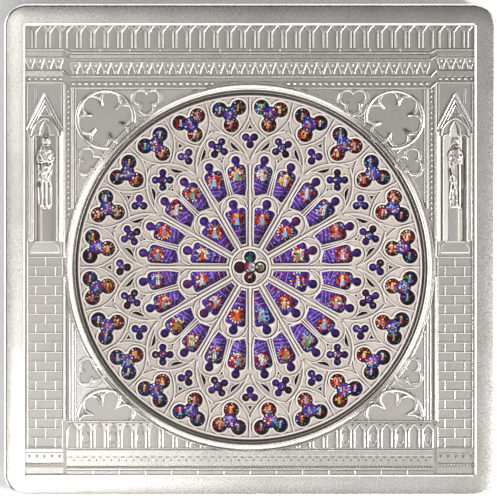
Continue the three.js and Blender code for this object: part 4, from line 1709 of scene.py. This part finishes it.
    def cornices(self, shell: Shell) -> None:
        """Adds the arcades, cornices and friezes over the rose.

        Args:
            shell: Where they go.
        """
        spread = (24.62, 26.62, 27.34)
        self.arcade(shell, [i * self.bay for i in range(-13, 14)], *spread)
        reach = self.centre_reach
        self.bands(shell, -22.2, 22.2, [(27.3, 27.46, self.middle)])
        self.bands(shell, -reach, reach, [
            (24.16, 24.5, self.low), (23.9, 24.08, self.high), (23.3, 23.8, self.middle),
            (23.12, 23.22, self.high), (21.02, 21.2, self.high), (20.52, 20.98, self.low * 0.5),
            (19.62, 19.8, self.high)])
        self.joints(shell, reach, 24.16, 24.5, 3.77)
        self.joints(shell, reach, 23.3, 23.8, 3.16)
        self.leaves(shell, -reach, reach, 23.08, 21.38, 1.245)
        self.beads(shell, -reach, reach, 20.25, 0.767, (0.27, 0.2), self.high)
        for side in SIDES:
            x0, x1 = self.aisle(side)
            for middle in (23.71, 25.46):
                self.arcade(shell, [side * middle], *spread)
            shell.rib([(side * 26.55, 24.62), (side * 26.55, 26.6), (side * 27.05, 27.25)],
                      self.shaft_width, self.level(self.high))
            self.bands(shell, x0, x1, [
                (27.3, 27.46, self.middle), (24.3, 24.48, self.high), (23.68, 24.28, self.low),
                (21.92, 22.02, self.low * 0.5), (21.12, 21.85, self.middle),
                (20.32, 20.48, self.high)])
            self.leaves(shell, x0, x1, 23.58, 22.0, 1.22)
            self.beads(shell, x0, x1, 20.85, 0.73, (0.24, 0.2), self.high)
            for high, low in ((24.38, 24.0), (23.6, 23.18), (21.9, 21.1), (20.42, 19.7)):
                shell.rib([(side * 22.75, high), (side * 22.0, low)], 0.16, self.level(self.high))

    def gallery(self, shell: Shell) -> None:
        """Adds the gallery under the rose and the courses at the foot.

        Args:
            shell: Where they go.
        """
        centres = [i * self.bay for i in range(-13, 14) if abs(i) > 1]
        self.arcade(shell, centres, -24.05, -21.95, -21.2)
        for x in centres[1::2]:
            if off_rose(x, -22.9) > RING_OUTER + 0.9:
                oval = [(px * 0.42 + x, py * 0.72 - 22.95) for px, py in circle(0, 0, 1, 14)]
                shell.rib(oval, 0.1, self.level(self.low + 0.06), closed=True)
        reach = self.foot_reach
        self.bands(shell, -reach, reach, [
            (-20.98, -20.84, self.high), (-24.3, -24.1, self.low), (-25.06, -24.4, self.middle),
            (-26.85, -26.62, self.middle), (-27.36, -26.9, self.low)])
        self.joints(shell, reach, -27.36, -26.9, 3.14)
        dash = box(-0.24, -25.3, 0.24, -25.17)
        dart = [(0.33, -25.72), (0.57, -25.72), (0.45, -25.4)]
        self.nicked_course(shell, box(-reach, -26.3, reach, -25.04), 0.908, (dash, dart))
        self.beads(shell, -reach, reach, -26.46, 0.37, (0.13, 0.12), self.middle)
        for side in SIDES:
            x0, x1 = self.aisle(side)
            self.bands(shell, x0, x1, [(-24.65, -24.2, self.middle), (-27.3, -26.45, self.low)])
            cup = [(-0.2, -24.95), (0.2, -24.95), (0.06, -25.32), (-0.06, -25.32)]
            self.nicked_course(shell, box(x0, -25.9, x1, -24.75), 0.9, (cup,))
            self.beads(shell, x0, x1, -26.12, 0.37, (0.13, 0.12), self.middle)

    def nicked_course(self, shell: Shell, outline: Path, pitch: float,
                      pattern: Sequence[Path]) -> None:
        """A flat course with a row of sunk nicks.

        Args:
            shell: Where it goes.
            outline: Its four corners.
            pitch: Distance between nicks.
            pattern: The nicks of one step; those past the first stand between steps.
        """
        x0, x1 = outline[0][0], outline[1][0]
        count = round((x1 - x0) / pitch)
        nicks = []
        for i in range(count):
            drawn = pattern if i < count - 1 else pattern[:1]
            nicks += [shifted(nick, x0 + (i + 0.5) * (x1 - x0) / count, 0) for nick in drawn]
        shell.pierced(outline, nicks, ROOT_Z, self.level(self.middle - 0.06))

    def shafts(self, shell: Shell) -> None:
        """Adds the bundles of upright shafts between aisles and centre.

        Args:
            shell: Where they go.
        """
        lines = ((22.62, -20.75, 20.3, 0.2, self.high), (21.62, 5.0, 19.6, 0.22, self.high),
                 (21.28, 5.8, 19.6, 0.13, self.middle), (21.62, -20.75, -8.0, 0.18, self.middle),
                 (21.28, -20.75, -8.6, 0.13, self.middle), (23.02, -0.6, 20.3, 0.1, self.low),
                 (22.0, -20.75, -5.0, 0.16, self.low))
        pearls = ((22.14, 19.4, 0.65, 32, (0.15, 0.26), 8, 0.3),
                  (22.36, -1.0, 0.24, 82, (0.1, 0.1), 6, 0.1))
        for side in SIDES:
            for x, y0, y1, width, height in lines:
                shell.clear_rib([(side * x, y0), (side * x, y1)], width, self.level(height),
                                RING_OUTER + 0.1)
            for x, first, pitch, count, size, sides, gap in pearls:
                for i in range(count):
                    y = first - i * pitch
                    if off_rose(x, y) > RING_OUTER + gap:
                        shell.mound(side * x, y, *size, self.level(self.middle), sides=sides)

    def masonry(self, shell: Shell) -> None:
        """Adds the coursed stone under the statues, its joints standing proud.

        Args:
            shell: Where they go.
        """
        top = self.level(self.low)
        rows = 20
        for side in SIDES:
            for row in range(rows + 1):
                y = -0.85 - row * self.course
                shell.rib([(side * 22.85, y), (side * 27.2, y)], 0.14, top)
                if row < rows:
                    for x in ((23.75, 26.15) if row % 2 else (24.95,)):
                        shell.rib([(side * x, y), (side * x, y - self.course)], 0.14, top)
            shell.rib([(side * 27.12, -24.1), (side * 27.12, 20.3)], 0.12, self.level(self.middle))
            shell.rib([(side * 22.88, -24.1), (side * 22.88, -0.7)], 0.12, top)

    def spandrels(self, shell: Shell) -> None:
        """Adds the four carved spandrels with their foils.

        Args:
            shell: Where they go.
        """
        edge = self.wheel_radius + 0.05
        wheel_x, wheel_y = self.wheel
        bowl_x, bowl_y = self.bowl
        shaft = 21.15
        for side in SIDES:
            wheel, bowl = (foil(side * x, y, 6, 2.37, 0.97, 1.72, 90 + side * 75)
                           for x, y in (self.wheel, self.bowl))
            head = foil(side * 12.6, 18.2, 3, 0.85, 0.7, 0.5, -90)
            flank, low_flank = (foil(side * x, y, 3, 0.85, 0.72, 0.5, 90 - side * 19)
                                for x, y in ((19.55, 10.72), (19.5, -14.9)))
            upper = flipped(arc(-wheel_x, wheel_y, edge, 78, -168, 40), -side)
            upper += [(side * shaft, 5.0), *self.ring_edge(side, 5.0, 19.55)]
            lower = flipped(arc(-bowl_x, bowl_y, edge, 174, 6, 30), -side)
            lower += [*self.ring_edge(side, -20.85, -9.5), (side * shaft, -9.5)]
            for panel, lights in ((upper, (head, flank)), (lower, (low_flank,))):
                holes = [light.outline(0.1, light.directions()) for light in lights]
                shell.pierced(panel, holes, ROOT_Z, self.panel_top)
            for light in (wheel, head, flank, low_flank):
                self.sill.around(shell, light)
            for run in self.above(bowl.outline(0.12, bowl.directions()), -20.85):
                shell.rib(run, 0.34, self.level(self.middle + 0.05))
            for y, first, last in ((wheel_y, 0, 360), (bowl_y, 4, 176)):
                ring = arc(side * wheel_x, y, self.wheel_radius - 0.02, first, last, 72)
                runs = outside_rose(ring, RING_OUTER + 0.05)
                for run in runs:
                    shell.rib(run, 0.42, self.level(self.high))
            for x, y in ((12.6, 18.2), (19.55, 10.72), (19.5, -14.9)):
                for run in outside_rose(arc(side * x, y, 1.95, 0, 360, 40), RING_OUTER + 0.1):
                    inside = [p for p in run if abs(p[0]) < 21.0 and -20.8 < p[1] < 19.5]
                    if len(inside) > 3:
                        self.split_rib(shell, inside, 0.14, self.level(self.low + 0.1))

    @staticmethod
    def split_rib(shell: Shell, points: Path, width: float, top: float) -> None:
        """A rib over points that may have gaps, one run between gaps.

        Args:
            shell: Where it goes.
            points: Its middle line.
            width: Width at its foot.
            top: Height of its back.
        """
        longest_chord = 0.6
        run: Path = [points[0]]
        for p in points[1:]:
            if math.hypot(p[0] - run[-1][0], p[1] - run[-1][1]) > longest_chord:
                if len(run) > 1:
                    shell.rib(run, width, top)
                run = []
            run.append(p)
        if len(run) > 1:
            shell.rib(run, width, top)

    @staticmethod
    def above(outline: Path, floor: float) -> list[Path]:
        """Runs of a closed outline that lie above a floor line.

        Args:
            outline: Its points.
            floor: Height of the floor line.

        Returns:
            Each run that is left.
        """
        start = next(i for i, p in enumerate(outline) if p[1] < floor)
        runs: list[Path] = [[]]
        for p in outline[start:] + outline[:start]:
            if p[1] >= floor:
                runs[-1].append(p)
            elif runs[-1]:
                runs.append([])
        return [r for r in runs if len(r) > 1]

    @staticmethod
    def ring_edge(side: int, start: float, end: float) -> Path:
        """Points along the ring between two heights, from the first to the second.

        Args:
            side: -1 for the ring's left half, 1 for its right.
            start: First height.
            end: Last height.

        Returns:
            The points in order.
        """
        radius, count = RING_OUTER - 0.25, 40
        points = []
        for i in range(count + 1):
            y = start + (end - start) * i / count
            x = math.sqrt(max(radius * radius - (y - ROSE_Y) ** 2, 0.0))
            points.append((side * x, y))
        return points

    @staticmethod
    def niche_outline(side: int) -> Path:
        """Outline of the hollow behind one statue: a cusped head on straight jambs."""
        half = [(1.45, 1.08), *arc(0.97, 13.6, 0.48, 0, 125, 8)]
        half += pointed_arch(0, 0.6, 14.3, 15.75, 6)[:7]
        return shifted([*half, *flipped(half[-2::-1], -1)], side * NICHE_X, 0)

    def niche(self, shell: Shell, side: int) -> None:
        """Adds gable, arch, jambs, curved back, pedestal and sill of one niche.

        Args:
            shell: Where it goes.
            side: -1 for the left, 1 for the right.
        """
        x = side * NICHE_X

        def line(points: Path, width: float, height: float) -> None:
            """Adds one line of the niche, its first side the outer one."""
            shell.rib([(x + side * px, y) for px, y in points], width, self.level(height))

        def upright(section: Path, levels: Sequence[Point]) -> None:
            """Adds an upright form: a section of (across, height), at (place up, flare)."""
            shell.loft([[(x + side * px * flare, y, z) for px, z in section]
                        for y, flare in levels])

        peak = 19.1
        line([(2.3, 14.7), (0.0, peak)], 0.3, self.high)
        line([(-2.2, 14.8), (0.0, peak)], 0.18, self.high)
        for offset, width in ((0.42, 0.13), (0.78, 0.1)):
            inner_peak = peak - offset * 1.9
            line([(2.25 - offset, 14.8), (0.0, inner_peak)], width, self.middle)
            line([(-2.2 + offset, 14.8), (0.0, inner_peak)], width, self.middle)
        line(pointed_arch(0, 1.66, 13.9, 16.05, 8), 0.2, self.high)
        line(shifted(self.niche_outline(1), -NICHE_X, 0), 0.16, self.middle)
        eyelet = Lip(((0.0, 4.44), (0.06, 4.5), (0.12, 4.5), (0.18, 4.44)), ROOT_Z)
        eyelet.around(shell, foil(x, 16.85, 3, 0.3, 0.26, 0.22, 90))
        for px, y, size in ((-0.72, 16.5, 0.2), (0.72, 16.5, 0.2), (0.0, 17.65, 0.16)):
            shell.mound(x + px, y, size, size, self.level(self.middle), sides=10)
        line([(1.94, 1.1), (1.94, 14.2)], 0.16, self.high)
        shell.prism([(x + side * px, y) for px, y in box(1.52, 1.05, 1.82, 13.7)],
                    self.level(self.middle), 0.06)
        # The splayed inner jamb: a polished slope that faces the statue.
        upright([(-1.5, 3.6), (-1.5, 4.2), (-2.25, 4.74), (-2.27, 4.0)], ((1.05, 1), (14.4, 1)))
        sill = [(-1.78, -0.4), (1.78, -0.4), (1.78, 0.2), (1.25, 1.05), (-1.25, 1.05), (-1.78, 0.2)]
        shell.prism(shifted(sill, x, 0), self.level(self.low), 0.1)
        # The pedestal: a flat front, a slope on its outer side and a flared foot.
        upright([(-0.84, 3.6), (-0.8, 4.22), (0.34, 4.3), (0.84, 3.93), (0.86, 3.6)],
                ((0.7, 1.35), (0.95, 1.12), (1.3, 1.0), (5.1, 1.0)))
        # The curved back, deepest on its outer side.
        back = [(-1.0, 3.65), (-1.0, 4.24), (-0.8, 4.2), (-0.4, 4.13), (0.0, 4.05), (0.4, 3.98),
                (0.58, 3.93), (0.66, 3.76), (0.9, 3.72), (1.0, 3.74), (1.0, 3.65)]
        upright(back, ((1.0, 1.52), (15.8, 1.52)))
        for px in (1.1, 1.32):
            line([(px, 19.7), (px - 0.08, 17.9)], 0.1, self.low)

    def build(self, finish: bpy.types.Material) -> None:
        """Builds the church front, piece by piece.

        Args:
            finish: The pieces' material.
        """
        parts = {
            "cornice_carving": [self.cornices],
            "gallery_carving": [self.gallery, self.masonry],
            "shaft_carving": [self.shafts],
            "spandrel_carving": [self.spandrels],
        }
        for name, makers in parts.items():
            shell = Shell()
            for make in makers:
                make(shell)
            shell.piece(name, finish, "struck_silver")
        figures = (hooded_figure(), bare_headed_figure())
        for side, name, figure in zip(SIDES, ("left", "right"), figures):
            shell = Shell()
            self.niche(shell, side)
            shell.piece(f"niche_{name}", finish, "struck_silver")
            shell = Shell()
            figure.carve(shell, side * NICHE_X)
            shell.piece(f"statue_{name}", finish, "struck_silver", crease=60)


# -------------------------------------------------------------------- studio


@dataclass
class Card:
    """One soft white card of the studio, pointed at the coin."""

    name: str
    place: Point3
    width: float
    height: float
    power: float

    def build(self, target: Vector) -> None:
        """Sets the card up.

        Args:
            target: What it points at, in metres.
        """
        lamp = bpy.data.lights.new(self.name, "AREA")
        lamp.shape = "RECTANGLE"
        lamp.size = self.width
        lamp.size_y = self.height
        lamp.energy = self.power
        item = bpy.data.objects.new(self.name, lamp)
        item.location = self.place
        item.rotation_euler = (target - Vector(self.place)).to_track_quat("-Z", "Y").to_euler()
        item.visible_camera = False
        bpy.context.scene.collection.objects.link(item)


@dataclass
class Studio:
    """Paper floor, soft cards, the pale surround and the camera overhead."""

    floor_reach: float = 1.5
    view_width: float = 60.85
    camera_height: float = 0.4
    sensor: float = 36.0
    surround: str = "F4F4F6"
    surround_strength: float = 0.04
    cards: tuple[Card, ...] = (
        Card("key_right", (0.22, -0.08, 0.3), 0.05, 0.05, 0.9),
        Card("right_card", (0.28, -0.02, 0.15), 0.4, 0.26, 0.5),
        Card("left_card", (-0.3, 0.0, 0.09), 0.4, 0.16, 0.6),
        Card("foot_card", (0.0, -0.28, 0.15), 0.4, 0.26, 0.7),
        Card("head_card", (0.0, 0.3, 0.08), 0.4, 0.12, 0.25),
        Card("overhead", (0.0, 0.0, 0.5), 0.3, 0.3, 0.065),
        Card("overhead_foot_left", (-0.09, -0.09, 0.45), 0.1, 0.1, 0.11),
        Card("overhead_head_left", (-0.11, 0.08, 0.45), 0.1, 0.1, 0.05),
        Card("overhead_foot", (0.0, -0.11, 0.45), 0.3, 0.1, 0.02),
    )

    def lay_floor(self, level: float) -> None:
        """Lays the paper floor.

        Args:
            level: Height of the coin's back in metres.
        """
        paper = bpy.data.meshes.new("paper_floor")
        reach = self.floor_reach
        corners = [(x, y, 0.0) for x, y in box(-reach, -reach, reach, reach)]
        paper.from_pydata(corners, [], [(0, 1, 2, 3)])
        paper.materials.append(StudioPaper().build())
        item = bpy.data.objects.new("paper_floor", paper)
        item.location.z = level
        bpy.context.scene.collection.objects.link(item)
        item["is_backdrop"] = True

    def light_surround(self) -> None:
        """Sets the dim pale world round the paper."""
        world = bpy.data.worlds.new("studio_surround")
        world.use_nodes = True
        tree = world.node_tree
        tree.nodes.clear()
        glow = add_node(tree, "ShaderNodeBackground", {}, {
            "Color": linear(self.surround), "Strength": self.surround_strength,
        })
        add_node(tree, "ShaderNodeOutputWorld", {}, {"Surface": glow.outputs["Background"]})
        bpy.context.scene.world = world

    def hang_camera(self, face: float) -> None:
        """Hangs the camera straight over the coin.

        Args:
            face: Height of the coin's face in metres.
        """
        eye = bpy.data.cameras.new("overhead_camera")
        eye.sensor_width = self.sensor
        eye.lens = self.sensor * (self.camera_height - face) / (self.view_width * MM)
        camera = bpy.data.objects.new("overhead_camera", eye)
        camera.location = (0, 0, self.camera_height)
        bpy.context.scene.collection.objects.link(camera)
        bpy.context.scene.camera = camera
        bpy.context.scene.view_settings.view_transform = "Standard"

    def build(self) -> None:
        """Builds floor, lights, surround and camera."""
        low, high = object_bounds()
        self.lay_floor(low[2])
        for card in self.cards:
            card.build(Vector((0, 0, high[2])))
        self.light_surround()
        self.hang_camera(high[2])


def main() -> None:
    """Builds the coin and the studio."""
    logging.basicConfig(level=logging.INFO, format="%(message)s")
    silver = StruckSilver().build()
    rose = RoseTracery()
    CoinPlate().build(silver)
    RingMoulding().build(silver)
    Facade().build(silver)
    rose.build(IvoryEnamel())
    GlassPicture().build(rose, StainedGlass())
    Studio().build()


if __name__ == "__main__":
    main()
